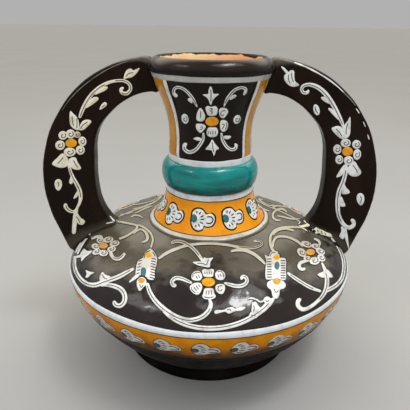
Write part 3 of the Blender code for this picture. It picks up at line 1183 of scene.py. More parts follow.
left_handle_drawing = (
    # Spray with its leaf, leaflets and seed
    ("patch", (
        (123.3, 79.5), (124, 74.5), (127, 69.5), (130.8, 68.3), (134, 70.2), (140, 67.6), (137.3, 73),
        (132, 77.5), (127, 78.6),
    )),
    ("line", ((126, 76.5), (129, 73.5), (133.5, 72.5))),
    ("stroke", ((95, 94.5, 1.2), (99.5, 91, 4.6), (104, 88.8, 5), (107.8, 87.4, 2.6))),
    ("stroke", ((86, 108, 1.4), (90, 103.5, 5.4), (94.5, 99.8, 6), (98.6, 98.4, 2.8))),
    ("stroke", (
        (79.5, 118, 3), (82.5, 110, 4.6), (87, 101, 4.6), (92.5, 93.5, 4.4), (100, 87, 4),
        (108.5, 82.6, 3.6), (117, 80.7, 3.4), (124.5, 81, 3.4), (129.6, 84.5, 3.6), (130.4, 89.5, 3.8),
        (126.8, 93.4, 4.2), (122.3, 92.8, 4), (121, 89.3, 3.6), (124, 87.6, 2.6),
    ), ((0.1, 0.03, 0.5), (-0.1, 0.6, 0.95))),
    ("stroke", ((99.8, 109.6, 1.2), (103, 106, 4.6), (106.6, 102.8, 4.6))),
    ("line", ((101.6, 107.8), (104.8, 104.6))),
    # Leaves over and under the flower
    ("patch", (
        (70, 110.6), (74, 113.6), (77.6, 117.5), (79.4, 123), (79, 130.4), (74.6, 129.6), (70.6, 126),
        (69.2, 119.5),
    )),
    ("line", ((72.2, 116), (72.6, 121), (73.8, 126))),
    ("line", ((77, 118), (77.2, 124), (76.8, 128))),
    ("patch", (
        (92, 121.2), (87, 119.2), (82.4, 121), (79.6, 125.5), (78.6, 130.2), (83, 130.4), (87, 127.4),
    )),
    ("line", ((88, 121.6), (83.6, 124.6), (80.4, 128.6))),
    ("patch", (
        (62.5, 152.8), (57.5, 157), (51.6, 163.6), (56, 167), (62.5, 168.2), (68, 166), (69, 160),
        (66.5, 155.5),
    )),
    ("line", ((63.5, 157), (60.4, 161), (57.5, 163.4))),
    ("patch", ((75.5, 157), (78, 162), (81.6, 168.6), (77, 170.2), (72, 168.4), (68.4, 163), (69.5, 158))),
    ("line", ((73.6, 160), (75.6, 164), (78, 167.4))),
    # Stem with its spurs, curl, leaf and dot
    ("stroke", ((71.5, 176, 1.4), (71, 180.5, 3.6), (71.2, 184, 4.4))),
    ("stroke", ((79, 190, 2), (76.6, 195, 3.6), (73.8, 198.6, 1.6))),
    ("stroke", (
        (68.5, 162, 4.5), (70.2, 170, 3.4), (73, 177.5, 4.2), (77, 184.5, 4.6), (79.8, 191, 4.8),
        (80.7, 197.5, 4.2), (79.6, 203, 3.4), (77.4, 207.5, 3), (75.8, 213, 4.6), (75, 220, 5.2),
        (74.3, 227, 4.8), (73.8, 234, 4.4),
    ), ((0, 0.08, 0.5),)),
    ("stroke", (
        (77.6, 208.4, 2.6), (73.4, 211.6, 3.2), (68.6, 210, 4.2), (65.6, 206.2, 4.6), (66.8, 203.6, 4.6),
    ), ((0.2, 0.3, 0.95),)),
    ("patch", ((77, 212.5), (80.5, 217), (85.4, 221.4), (82.5, 225.2), (77.6, 223.4), (75.5, 218))),
    ("line", ((76.4, 216), (79.4, 221), (79, 223))),
    ("dot", 58.4, 184.8, 4, 6.2, 0, 0.18),
    ("line", ((57.6, 181.6), (59.2, 184), (57.8, 187.2))),
    # Flower
    ("petal", 77.3, 134.6, 3.6, 3.4, 0),
    ("petal", 63, 135.4, 4.8, 4.7, 0),
    ("petal", 70.6, 134, 4.9, 5, 0),
    ("petal", 82.4, 141.3, 4.3, 5.2, -15),
    ("petal", 80.4, 150, 4.8, 5, 0),
    ("petal", 69.8, 152, 6.4, 4.8, 0),
    ("petal", 60.2, 145.2, 5.2, 5.1, 0),
    ("spot", "yellow", 71.3, 143, 6.2, 4.7),
)
right_handle_drawing = (
    # Spray with its leaf, leaflets and seed
    ("stroke", ((281.2, 66.6, 1.6), (284.5, 69.6, 2.8), (288, 74, 3))),
    ("patch", (
        (284, 75), (287.5, 72), (291, 69.6), (294.2, 70.6), (294.6, 77), (295.6, 81.6), (299.6, 85.2),
        (295.5, 87.2), (290, 86.4), (285.8, 83), (283.6, 79),
    )),
    ("line", ((288.4, 74.4), (288.4, 79), (290, 83.4))),
    ("line", ((291.6, 73), (291.8, 77.4), (293.4, 82))),
    ("stroke", ((329.5, 103.5, 1.6), (325, 99.4, 5), (320.8, 97.4, 1.8))),
    ("stroke", ((338.5, 119.5, 1.6), (333.5, 112.4, 4.8), (328.2, 108.2, 1.8))),
    ("stroke", (
        (308.6, 89.6, 2.4), (307, 92.6, 3.6), (303.4, 92.6, 3.8), (301.6, 89.4, 3.8), (303.2, 86.2, 3.8),
        (308, 84.6, 4), (314, 85.6, 4.8), (320, 88.8, 5.2), (325.6, 94, 5.4), (330.4, 100.4, 5.4),
        (334.8, 108, 5.2), (338.8, 116, 4.8), (342.4, 124, 3.6), (344.6, 131, 2.4),
    ), ((0.1, 0.05, 0.92),)),
    ("dot", 316.4, 109.8, 3.3, 6, -14),
    ("line", ((315, 106), (315.6, 110), (317.8, 113.4))),
    # Leaves over and under the flower
    ("patch", (
        (331, 128.4), (335.4, 125.8), (340, 126), (343.4, 129.6), (344.6, 139.4), (340, 138.4),
        (335.2, 134.4),
    )),
    ("line", ((335.6, 128.6), (339, 131.8), (341.8, 136.2))),
    ("patch", (
        (350.4, 116.6), (347.4, 120.6), (344.2, 125), (343.4, 131), (344.6, 139.4), (349.2, 136.4),
        (350.6, 130),
    )),
    ("line", ((348, 123), (346.2, 128.6), (346, 134.6))),
    ("patch", ((345.5, 163.6), (341, 168), (335.8, 177.2), (340.6, 176.4), (345, 172.6), (348.4, 167.4))),
    ("patch", (
        (354.5, 160.8), (358.2, 166), (361.6, 172.2), (358.6, 176.2), (352.6, 176.8), (347.6, 173.6),
        (347, 168), (350.5, 164),
    )),
    ("line", ((352.4, 164.8), (355.6, 168.8), (357.4, 172.8))),
    # Stem with its spurs, leaf, tail and dot
    ("patch", ((343.5, 183.5), (346.4, 187.4), (350.2, 192.4), (345.8, 194.4), (341.4, 193))),
    ("patch", ((341, 196), (343.8, 201), (345.4, 206.2), (340.6, 206.6), (338.6, 202))),
    ("stroke", (
        (346, 167, 4), (345, 175, 4.6), (342.6, 183, 5), (339.4, 190.5, 5.2), (337.8, 199, 5.2),
        (337.6, 207.5, 5), (338.6, 215, 4.6), (341.4, 221.4, 4.6), (345.4, 226.2, 4.6), (350, 227.4, 4.6),
        (353.6, 224.6, 4.4), (353, 221, 4.4), (350.6, 219.6, 3.8),
    ), ((0.1, 0.05, 0.75),)),
    ("patch", ((341, 226), (344.6, 229), (345, 236), (342.6, 239.6), (339, 236.4), (341, 231))),
    ("stroke", ((344.6, 228, 3.6), (346, 236, 3.8), (348.6, 248.6, 0.9))),
    ("dot", 360.4, 199.2, 4.1, 6.6, -4, 0.16),
    ("line", ((360.2, 195.8), (361.4, 199), (360.2, 202.6))),
    # Flower
    ("petal", 345.6, 143, 5.4, 4.6, 0),
    ("petal", 356.4, 144.4, 4.7, 4.7, 0),
    ("petal", 357, 154.4, 4.2, 5.7, 8),
    ("petal", 348.5, 160.6, 5.2, 5, 0),
    ("petal", 339.2, 159.6, 4.2, 4.8, 0),
    ("petal", 337.2, 149.2, 4.4, 5.2, 0),
    ("spot", "yellow", 347.3, 151.4, 5.8, 4.9, -8),
)
joint_drawing = (
    ("patch", (
        (297.6, 224.4), (299, 222), (301.6, 221.8), (304.4, 219.8), (306.6, 222.6), (309.6, 224.4),
        (310.6, 228), (310.4, 232.4), (306.6, 231.4), (303, 229.4), (299.6, 226.8),
    )),
    ("patch", (
        (311.2, 229.8), (313.4, 228.6), (315.6, 226.8), (318.6, 228.4), (322.4, 229.8), (326.8, 232.2),
        (331, 233.6), (333, 236.8), (330.4, 237.4), (326, 236), (320.2, 234.8), (315, 233.6),
    )),
    ("line", ((317, 229.6), (318, 231.4), (318.6, 233))),
    ("line", ((320.6, 230.6), (321.4, 232.4), (322, 233.8))),
    ("line", ((324.4, 232), (325, 233.8), (325.6, 235))),
    ("line", ((300.6, 224.6), (303.4, 226.4), (306.8, 227.6))),
)
front_drawing = (
    # Stems
    ("stroke", (
        (158.4, 259, 2.6), (166, 253.6, 3.6), (176, 249, 3.6), (187, 245.6, 3.2), (200, 243.9, 3),
        (213, 243.7, 3), (226, 244.9, 3), (238, 247.1, 3), (249, 248.3, 3), (257.2, 247.2, 2.8),
        (262, 244.4, 2.6), (259.8, 241.4, 2.8), (253.4, 241.2, 3),
    ), ((0, 0.72, 0.98),)),
    ("stroke", (
        (171, 243.6, 3), (175.6, 241.4, 3.8), (182.6, 242.2, 3.8), (189.8, 246, 3.8), (196, 251.6, 3.8),
        (201, 258.4, 3.6), (204.2, 263.6, 2.6),
    ), ((0.1, 0.05, 0.8),)),
    ("stroke", (
        (230.6, 251.6, 2.2), (238, 249.9, 3.6), (246.2, 250.9, 3.8), (254, 254.4, 3.8), (260.2, 259.2, 3.6),
        (265.2, 264.4, 2.2),
    )),
    ("stroke", (
        (209, 299, 2.4), (210.8, 305, 4.8), (207.4, 312.4, 5.2), (199.4, 318.2, 5.2), (188.4, 320.2, 5.2),
        (176.6, 317, 5.4), (165, 310, 6), (155.8, 301.4, 5.6), (150, 292.4, 5), (147, 283, 4),
    ), ((-0.1, 0.1, 0.97),)),
    ("stroke", (
        (163, 311.6, 2), (173, 318.6, 4.6), (184, 324, 5.2), (196, 327.2, 5.4), (209, 328.4, 5.6),
        (223, 327.4, 5.6), (237, 324, 5.6), (249, 318.8, 5.8), (259.6, 312, 6), (268, 305, 5.8),
        (274, 298, 3.6),
    ), ((-0.15, 0.1, 0.92),)),
    ("patch", ((252.5, 301.5), (256, 304.4), (259.4, 309.6), (255, 315.6), (251.2, 312), (251.6, 306))),
    ("patch", (
        (192, 262.4), (198, 261.6), (203.2, 262), (203.8, 257.4), (208.4, 258.2), (213.6, 257.6),
        (210.8, 262.2), (210, 267.4), (203.8, 267.2), (197.6, 265.6),
    )),
    ("line", ((197, 263.6), (203, 264), (206, 265.6))),
    ("line", ((209, 259.6), (207.4, 262.6), (206.6, 265.6))),
    ("stroke", (
        (192, 283.4, 2.4), (187, 281, 3.8), (181, 278.6, 4.4), (175.4, 278.4, 4.6), (172, 281.6, 4.4),
        (173.2, 285.4, 4.4), (176.6, 285.2, 4),
    ), ((0.1, 0.1, 0.9),)),
    ("stroke", (
        (224, 283, 2.2), (230, 284.8, 4), (236.4, 286.2, 4.4), (242.4, 285.6, 4.6), (246.6, 282.2, 4.2),
        (246, 278, 4.2), (242.4, 276.8, 4), (241.2, 280, 3.4),
    ), ((0.1, 0.1, 0.9),)),
    # Flower
    ("patch", (
        (201.7, 270.4), (204.2, 268.9), (208, 269.6), (212, 268.7), (214.3, 270), (214, 273.4),
        (212.9, 276.9), (208, 277.4), (203.9, 276.9), (202.2, 274),
    )),
    ("patch", (
        (215.2, 272.6), (218.6, 269.9), (223.3, 271.3), (225.7, 275.4), (223.9, 279.8), (219.3, 280.6),
        (215.8, 278.7), (214.7, 275.3),
    )),
    ("patch", (
        (215.7, 285.3), (219.4, 283.8), (224.3, 284.4), (225.4, 288.4), (223.7, 293.4), (220.6, 294.6),
        (216.4, 292.2), (215, 288.4),
    )),
    ("patch", (
        (203.8, 289.2), (206, 287.8), (211.4, 287.8), (214, 289.4), (214.8, 293.4), (216.2, 296.8),
        (213.5, 299.4), (208.4, 300), (203.8, 299.2), (201.8, 296.6), (203, 292.7),
    )),
    ("patch", (
        (189.6, 285.8), (194.1, 282.9), (200, 282.6), (202.6, 285.8), (201.6, 291), (198.2, 295.3),
        (193.3, 293.8), (190, 290.1),
    )),
    ("patch", (
        (191, 275.8), (193.9, 271.7), (199, 270.7), (201.7, 273.6), (202.4, 277.6), (199.9, 280.9),
        (194.3, 280.9), (191.3, 278.9),
    )),
    ("line", ((204.6, 271.6), (204.8, 273.2), (205.2, 274.8))),
    ("line", ((206.9, 271.8), (207, 273.4), (207.2, 275))),
    ("line", ((209.4, 271.8), (209.4, 273.4), (209.4, 275))),
    ("line", ((211.8, 271.6), (211.6, 273.2), (211.4, 274.8))),
    ("line", ((217.4, 272.2), (220.8, 271.6), (223.4, 274.6), (223.4, 277.8))),
    ("line", ((217.6, 274.8), (218.4, 276.4), (219, 278.2))),
    ("line", ((219.9, 274), (220.6, 275.6), (221.2, 277.4))),
    ("line", ((222.6, 286.2), (219, 286.4), (218, 289.6), (220.4, 291.4), (222.4, 289.2))),
    ("line", ((206.4, 290.6), (206.2, 292.8), (206, 295))),
    ("line", ((208.9, 290.6), (208.9, 292.8), (208.9, 295))),
    ("line", ((211.3, 290.6), (211.5, 292.8), (211.7, 295))),
    ("line", ((204, 297), (208.6, 298), (213.6, 297))),
    ("line", ((193.6, 287.2), (195.2, 289.2), (196.6, 291.2))),
    ("line", ((195.9, 285.8), (197.4, 287.8), (198.8, 289.8))),
    ("line", ((198.2, 284.8), (199.4, 286.2), (200.6, 287.8))),
    ("line", ((191.4, 287.2), (192.2, 290.6), (195.4, 293))),
    ("line", ((192.9, 277.8), (193.2, 274.6), (196.8, 272.6), (200.2, 273.2))),
    ("line", ((195.8, 276.2), (196.8, 277.8), (197.8, 279.4))),
    ("line", ((198.3, 275.2), (199, 276.8), (199.8, 278.4))),
    ("spot", "yellow", 208.4, 282.4, 7.1, 4.8),
    # Left wing
    ("patch", (
        (150.4, 247.6), (154.4, 251), (157.6, 257), (157.4, 264), (155.4, 272), (154.6, 280.2),
        (149, 280.4), (145.6, 277.6), (140, 276), (135.2, 276.6), (135.4, 268), (137.6, 260.6),
        (142.6, 257.2), (145.2, 251.6),
    )),
    ("stroke", ((138.6, 274.6, 4.2), (134, 278.6, 3.4), (129.2, 282.6, 1.2))),
    ("patch", (
        (137.4, 279.4), (142, 276.6), (146.2, 279.4), (146.4, 284.4), (143.6, 287.8), (140, 291.6),
        (137.6, 289.4), (136.4, 284.4),
    )),
    ("hatch", (151.4, 258.4), (149.6, 277.4), 8, 5, 1.4),
    ("hatch", (138.4, 261.6), (136.4, 274), 5, 3.6, -1),
    ("line", ((144, 259), (146.4, 252.8), (150.4, 251))),
    ("line", ((152.6, 252.4), (154.6, 254.8), (155.4, 257.2))),
    # Right wing
    ("patch", (
        (270, 251.8), (274, 249.8), (278.6, 251.6), (281.6, 257), (286.4, 258.8), (286.6, 269),
        (286.2, 280.4), (279.6, 280.4), (272.6, 280.4), (265.2, 279.4), (264.8, 268), (265.6, 260.4),
        (263.8, 254), (268, 256),
    )),
    ("patch", (
        (270.4, 280), (276.6, 278.8), (283, 280.4), (286.4, 284.6), (284.6, 288.6), (280.4, 290.2),
        (279.2, 296.2), (276.2, 299.8), (272.4, 297), (270.6, 290.6), (266.8, 287), (266.6, 282.4),
    )),
    ("hatch", (266.4, 259.4), (266.6, 277.4), 8, 5.2),
    ("hatch", (280.2, 261), (280.2, 278.2), 8, 5.2),
    ("line", ((269.8, 256.8), (271.4, 253.6), (275, 252.8))),
    ("line", ((277.6, 252.8), (280, 255.4), (280.4, 258.4))),
    ("line", ((273.6, 289), (275.8, 292.6), (278.4, 290.6))),
    # Foot and spots of both wings
    ("line", ((139.6, 284.6), (141.6, 287.6), (143.6, 285))),
    ("spot", "yellow", 148.4, 255.4, 3.8, 2.8),
    ("spot", "teal", 143.6, 272, 3, 4.9),
    ("spot", "yellow", 141.6, 281, 3.6, 2.7),
    ("spot", "yellow", 276.2, 257.6, 3.6, 2.7),
    ("spot", "teal", 276.8, 266, 2.8, 4.4),
    ("spot", "yellow", 276.6, 282, 4, 3),
)
worn_and_glare_drawing = (
    # Worn patches of the front stem; the long first patch is a painted highlight streak along it
    ("patch", (
        (213.2, 312.4), (215, 310.2), (219, 310.4), (223.6, 309.8), (227, 307.8), (232.4, 306.8),
        (236, 308.8), (241, 308.6), (245, 306.4), (246.6, 307.8), (242.4, 310.6), (235.6, 311.6),
        (229, 314), (224.4, 312), (218, 312.4), (214.8, 314.2),
    )),
    ("patch", ((263, 299.5), (266, 296.5), (269, 297), (271.5, 299.5), (269.5, 304.5), (266, 305.5))),
    ("patch", ((248.5, 315.5), (251.5, 311.5), (256.5, 313), (258, 317), (252.5, 319.5), (248.5, 319))),
    ("line", ((226.4, 310.6), (229.6, 309.4), (231, 311.6)), worn_chip_px),
    ("line", ((253.6, 305.4), (254, 308.6), (253.4, 312)), worn_chip_px),
    ("line", ((262.4, 309.4), (265.6, 306.6), (268.4, 303.4)), worn_chip_px),
    ("line", ((250.4, 314.6), (252.6, 315.8), (255.4, 315.2)), worn_chip_px),
    ("line", ((265.2, 300.6), (267.2, 301.6), (268.8, 300.2)), worn_chip_px),
    ("stroke", ((253.8, 314.6, 4.8), (253.6, 309, 4.2), (254.2, 304.4, 3.2), (255, 302, 2.2))),
    ("stroke", (
        (255, 302.2, 2), (257.4, 306.2, 2.4), (260.8, 309, 3), (265.6, 305.4, 4.2), (270.6, 300.6, 3.4),
    )),
    ("stroke", (
        (247, 299.8, 1.3), (251, 298.2, 1.7), (256, 299.6, 1.8), (260.6, 302, 1.7), (264.6, 300, 1.8),
        (268.2, 296.8, 1.5),
    )),
    # Strokes that show on the far shoulder
    ("stroke", (
        (287, 212.5, 1.6), (284, 209.7, 2.2), (280, 209, 2.4), (275.4, 211, 2.6), (272.8, 214.6, 2.6),
        (273.4, 218.2, 2.4), (276.6, 220.3, 2), (281, 220.5, 1.2),
    )),
    ("stroke", ((277, 216, 1.4), (283, 217, 1.8), (289, 218.6, 1.8), (295, 219.3, 1.6), (300, 218.5, 1))),
    ("stroke", ((257, 205.4, 1.4), (262.4, 208.5, 1.8), (269.6, 211.3, 1.2))),
    ("stroke", ((130.6, 217.6, 1.2), (134, 215.6, 1.8), (139, 215.8, 1.8), (143, 218, 1.2))),
    ("stroke", ((120.4, 214.6, 1), (127, 213.8, 1.6), (133, 211.5, 1.2))),
    ("stroke", ((135, 213.6, 1), (140, 211, 1.6), (146, 208.2, 1.8), (152, 206.2, 1.2))),
)
side_drawing = (
    # Left side: arcs and lines, leaf and stems
    ("stroke", (
        (119, 239.2, 2.4), (125.6, 236.6, 2.6), (131.4, 233.2, 2.6), (135.8, 229.6, 2.6), (137.2, 227, 2.6),
        (135.4, 225.2, 2.4), (129, 223.6, 2.4), (122.6, 222.4, 2.4), (117, 221.6, 2),
    )),
    ("stroke", (
        (133.6, 234, 1.6), (138, 230.4, 2.2), (141.4, 229.6, 2.2), (145.2, 232, 2.8), (147.4, 236.4, 3.6),
        (146.6, 240.6, 3.2), (141.6, 242.6, 1.8),
    )),
    ("stroke", (
        (137, 225, 1.8), (142.6, 226.8, 2.2), (148, 230.6, 2.4), (151.8, 235.6, 2.4), (152.8, 241, 2.4),
        (150.8, 248, 2.2),
    )),
    ("stroke", ((90.6, 233.6, 1.6), (85, 240.6, 2.4), (80.4, 248, 2.4), (77.4, 254.6, 1.8))),
    ("stroke", ((81.6, 242.4, 1.4), (78.2, 247.6, 2.2), (75.6, 253, 1.6))),
    ("stroke", ((84, 255, 2.6), (78.6, 256.6, 2.8), (73.4, 257.6, 2.4))),
    ("patch", (
        (83.6, 248.6), (87.6, 250.8), (93, 250.6), (89.4, 254.6), (85, 258), (81.6, 261.8), (80.6, 258.4),
        (79.8, 255),
    )),
    ("patch", (
        (102.4, 271.6), (105.6, 274.6), (111, 276.8), (106.6, 281.6), (100.2, 281.6), (99.4, 276.6),
    )),
    ("stroke", (
        (75.2, 257.6, 3.2), (74.6, 265, 4), (76.8, 273, 4.4), (81.6, 280, 4.8), (88.4, 284.4, 5),
        (96, 285, 5.4), (103, 282.4, 5.4), (111, 279.6, 5.4), (119, 276.6, 5.2), (127, 272.4, 4.6),
        (134, 268.6, 3),
    ), ((0.1, 0.05, 0.95),)),
    ("line", ((102.6, 274.6), (104.4, 278), (107.6, 279.6))),
    ("stroke", (
        (100, 285.4, 2.6), (107, 285, 4.2), (115, 286.4, 5.4), (121.4, 289.8, 5.8), (124.8, 295.6, 5.6),
        (124.2, 302, 5.4), (120.2, 305.8, 5.2), (115.4, 304.6, 4.8), (114.4, 300.8, 4.6),
    ), ((0, 0.15, 0.98),)),
    ("patch", (
        (85.6, 270), (89.4, 271.4), (95, 272.6), (91, 275), (88.4, 277.6), (85.4, 278), (86.6, 274),
    )),
    ("stroke", ((91.4, 239.2, 2.2), (96, 237, 3), (101, 236.6, 3.2), (102.6, 240, 2.4))),
    ("stroke", (
        (111, 249.6, 3), (111.2, 254.6, 3.8), (114.4, 258.6, 3.8), (119.4, 258.8, 3.8), (123, 256, 3.8),
        (125, 253.2, 3.4),
    ), ((-0.1, 0.4, 0.95),)),
    # Left side: flower
    ("petal", 95.8, 246.6, 4.6, 3.3, 10),
    ("petal", 96.8, 252, 4.8, 3, -20),
    ("petal", 103.6, 253.2, 5, 3.4, 0),
    ("petal", 111.6, 249.4, 4.8, 3.2, -12),
    ("petal", 114.6, 243.8, 5.4, 3.2, -12),
    ("petal", 108.2, 239.8, 5.6, 3.2, -10),
    ("petal", 100.2, 240.6, 4, 3.4, 30),
    ("spot", "yellow", 103.6, 246, 4.7, 3.3),
    # Right side: arcs and lines, stems and leaf
    ("stroke", (
        (303, 227.8, 2.2), (292, 227.2, 2.6), (282, 227.8, 2.6), (274.8, 230.6, 2.8), (270.6, 236.4, 3),
        (270.2, 243, 3.2), (272.2, 249.4, 3.2), (276.4, 254, 2.4),
    )),
    ("stroke", (
        (303, 246.4, 2.2), (297.6, 241.8, 2.8), (290.6, 238.2, 2.8), (282.6, 236.6, 2.8),
        (276.4, 237.6, 2.8), (273.4, 242, 2.8), (273, 247.6, 2.4),
    )),
    ("stroke", (
        (294, 231, 2.2), (287, 229.2, 2.2), (280, 229.8, 2.2), (275.2, 232.6, 2), (273.4, 235.6, 1.6),
    )),
    ("stroke", (
        (331, 237.4, 1.8), (336.4, 245, 2.8), (340.8, 252.6, 3.4), (343.4, 261, 3.8), (343.6, 270, 4),
        (341.6, 278.6, 4.4), (336.6, 284.8, 4.6), (330, 289, 4.6), (323, 292.4, 3),
    ), ((0.1, 0.2, 0.95),)),
    ("stroke", (
        (287.2, 272.8, 2.4), (294, 277.6, 3.8), (302.6, 283.2, 4), (311.6, 288.2, 4), (321, 291.6, 2.8),
    ), ((0.1, 0.1, 0.8),)),
    ("stroke", (
        (321.6, 262.6, 1.8), (325, 270.6, 4), (326.8, 279, 4.8), (326.2, 287.6, 5.2), (322.8, 295.4, 4.4),
        (316.6, 302, 3.8), (309, 307.6, 4), (302.4, 309.4, 4.6), (298, 305.8, 4.8), (298.2, 301, 4.8),
        (301, 299.2, 4.2),
    ), ((0.1, 0.15, 0.55),)),
    ("patch", (
        (322.6, 264.6), (323.4, 270.6), (317, 274.6), (320.8, 277.8), (326.4, 278), (333.2, 277.4),
        (330.4, 272), (326.2, 268.4),
    )),
    ("stroke", ((313.6, 238.8, 2), (317.4, 240.2, 2.8), (319.8, 243.6, 2.8), (318, 246.4, 2.4))),
    ("stroke", (
        (311, 259.8, 2.2), (305, 261.2, 3.4), (300.4, 263.2, 4), (299, 266.8, 3.8), (301.6, 269.4, 3.8),
        (305.4, 268.6, 3),
    )),
    # Right side: flower
    ("petal", 306.4, 244.4, 6, 3.3, 20),
    ("petal", 301.6, 252.6, 5.6, 4, 42),
    ("petal", 307.4, 258.8, 4.4, 3, 10),
    ("petal", 314.4, 261, 5.6, 4.2, 0),
    ("petal", 321.2, 258, 4.8, 3.6, 40),
    ("petal", 320.2, 251.4, 5.6, 3.2, 28),
    ("petal", 315.6, 246.4, 4.6, 2.8, 10),
    ("spot", "yellow", 310.4, 252.4, 4.7, 3.4),
)

# Painted highlights along the handles' rounded edges, and specks at the left handle's foot that are part
# chips and part painted glints, as paths of (x, y, width) in pixels
highlight_grey_right = (
    ((279, 58.6, 0.8), (284, 59.8, 1.2), (290, 61.6, 1.4), (295, 63.6, 1.4)),
    ((343, 91.8, 1.4), (350, 98.8, 1.2), (355.6, 105.6, 0.8)),
)
highlight_white_right = (
    (294, 62.4, 1.2), (300, 64.6, 1.9), (306, 67, 1.4), (312, 69.9, 2), (320, 74.2, 1.6),
    (328, 79.2, 1.9), (336, 85.2, 1.5), (344, 92.6, 0.9),
)
highlight_specks_right = (
    ((356, 108.4, 0.7), (357.8, 111, 1.2), (359.4, 113.6, 0.7)),
    ((363.2, 121.6, 0.6), (364.4, 124.4, 1.2), (365.4, 127, 0.7)),
    ((367.6, 134.4, 0.6), (368.4, 137.2, 1.3), (369.2, 139.8, 0.7)),
)
highlight_edge_left = (
    (128, 61.2, 0.6), (118, 64.6, 1), (108, 69.2, 0.8), (98, 75, 1.1), (88, 82.2, 0.8),
    (78, 90.6, 1), (69, 100.4, 0.7), (62, 110.6, 0.5),
)
glint_and_chip_specks_left = (
    ((109.8, 215.8, 1), (112.2, 218.6, 1.6), (114.8, 221.4, 1.2)),
    ((106, 223.6, 0.8), (110, 222.6, 1.2), (113.4, 222, 0.8)),
    ((116, 220.2, 1.4), (118.6, 221.4, 2.2), (121, 222.4, 1.2)),
)


def make_edge_glints_and_wear():
    """Painted highlights along the handles' edges as pale and grey ragged lines, and specks at the left
    foot, part chips and part painted glints.
    """
    for skin, name, grey, pale in (
        (left_skin, "left", (highlight_edge_left,), glint_and_chip_specks_left),
        (right_skin, "right", highlight_grey_right, (highlight_white_right,) + highlight_specks_right),
    ):
        place = seen_on(skin)
        for kind, paths, material in (("grey", grey, painted_edge_sheen), ("pale", pale, white_slip)):
            layer = Layer()
            for path in paths:
                layer.stroke(place, path, edge_glint_and_wear_lift)
            layer.piece("worn_" + kind + "_" + name, material, "white_slip")


# Cloud motifs of the cone and the belly band, in millimetres about their middle
cloud_outline = (
    (-10.2, 2.6), (-9.4, 6.8), (-5.6, 9.4), (-1, 9), (1.6, 6.2), (3.2, 4.8), (7, 5.8), (10.2, 3),
    (10.6, -1.4), (8.4, -5.2), (4.4, -6.2), (1.2, -5.6), (0.4, -8.4), (-3.6, -10), (-8, -8.2),
    (-10.2, -3.6),
)
cloud_teal = (-7.4, 0.4, 2.8, 3.8)
cloud_ticks = (
    ((-5.6, 4.8), (-5.2, 7.2)),
    ((-3.6, 4), (-2, 6.6)),
    ((-2.4, 2), (0.8, 3.6)),
    ((-2.2, 0.1), (1.4, 0.4)),
    ((-2.4, -2), (0.6, -3.4)),
    ((-3.6, -3.8), (-2, -6.2)),
    ((-5.8, -4.8), (-5.2, -7.2)),
)
cloud_bow = ((3.2, 2.4), (6.9, 2.6), (8.6, -0.2), (6.7, -2.9), (3, -2.6))
cone_cloud_scale = 1.08 * MM
cone_clouds = (
    (-78, 150.6), (-43.6, 148.6), (-7.2, 149.4), (28.2, 149.6), (64, 150.8), (96, 150),
    (132, 149.2), (169, 150.2), (205, 149.6), (242, 149.8),
)
belly_count = 28
belly_turn_deg = -0.9
belly_cloud_scale = 0.94 * MM
belly_cloud_height = 78.3 * MM
belly_cloud_outline = (
    (-12.2, -2.6), (-11.4, 3), (-7.4, 7.6), (-2.4, 8.6), (2, 6.2), (4.6, 3), (9, 3), (12.6, 0.2),
    (13.6, -3.8), (9.4, -5.6), (3.4, -7), (-3.4, -9.4), (-8.4, -8.2),
)
belly_cloud_teal = (-8.2, -1.6, 3.4, 3.6)
belly_cloud_lines = (
    ((-6.2, 4.2), (-4.6, 5.4), (-2.6, 4.8)),
    ((-4, 2.4), (-2, 3.4), (-0.2, 2.6)),
    ((-3.6, -0.4), (-1.4, 0.2), (0.8, -0.4)),
    ((-4.2, -3.2), (-2, -3.2), (0.2, -4.2)),
    ((-6.2, -5.6), (-4.4, -6.6), (-2, -6.8)),
    ((2.4, 1), (6.6, 0.9), (10.8, -1.4), (8.4, -3.4), (3, -3.8)),
)


def make_clouds():
    cone = Ornament(None, cloud_rim_mm)
    for turn, height in cone_clouds:
        cone.place = wrapped_on(base_run(run_steps), math.radians(turn), height * MM, cone_cloud_scale)
        cone.patch(cloud_outline)
        for start, end in cloud_ticks:
            cone.line((start, blend(start, end, 0.5), end), cloud_line_mm)
        cone.line(cloud_bow, cloud_line_mm)
        cone.spot("teal", *cloud_teal)
    cone.pieces("cone_cloud", white_slip, (SAME,))

    body = shoulder_run(run_steps)[:-1] + bowl_run(run_steps)
    middle = math.radians(belly_turn_deg)
    belly = Ornament(wrapped_on(body, middle, belly_cloud_height, belly_cloud_scale), cloud_rim_mm)
    belly.patch(belly_cloud_outline)
    for line in belly_cloud_lines:
        belly.line(line, cloud_line_mm)
    belly.spot("teal", *belly_cloud_teal)
    turns = [Matrix.Rotation(math.tau * index / belly_count, 3, "Z") for index in range(belly_count)]
    # The belly clouds use the slip darkened as painted shade, where the body turns under
    belly.pieces("belly_cloud", painted_shade_slip, turns)


make_rings()
draw_group("neck_panel", seen_on(neck_skin, lip_skin), neck_drawing, white_slip, (SAME, HALF_TURN))
draw_group("handle_left_art", seen_on(left_skin), left_handle_drawing, cream_slip, (SAME, FAR_FACE))
draw_group("handle_right_art", seen_on(right_skin), right_handle_drawing, white_slip, (SAME, FAR_FACE))
make_edge_glints_and_wear()
draw_group("joint_slip_right", seen_on(right_skin, shoulder_skin), joint_drawing, cream_slip, (SAME,))
on_body = seen_on(bowl_skin, shoulder_skin)
draw_group("shoulder_art", on_body, front_drawing, shoulder_slip, (SAME, HALF_TURN))
on_vase = seen_on(bowl_skin, shoulder_skin, left_skin, right_skin)
# This group holds worn patches, one painted highlight streak, and strokes of the far shoulder
draw_group("worn_and_glare_art", on_vase, worn_and_glare_drawing, shoulder_slip, (SAME,))
draw_group("side_art", on_vase, side_drawing, shoulder_slip, (SAME, HALF_TURN))
make_clouds()


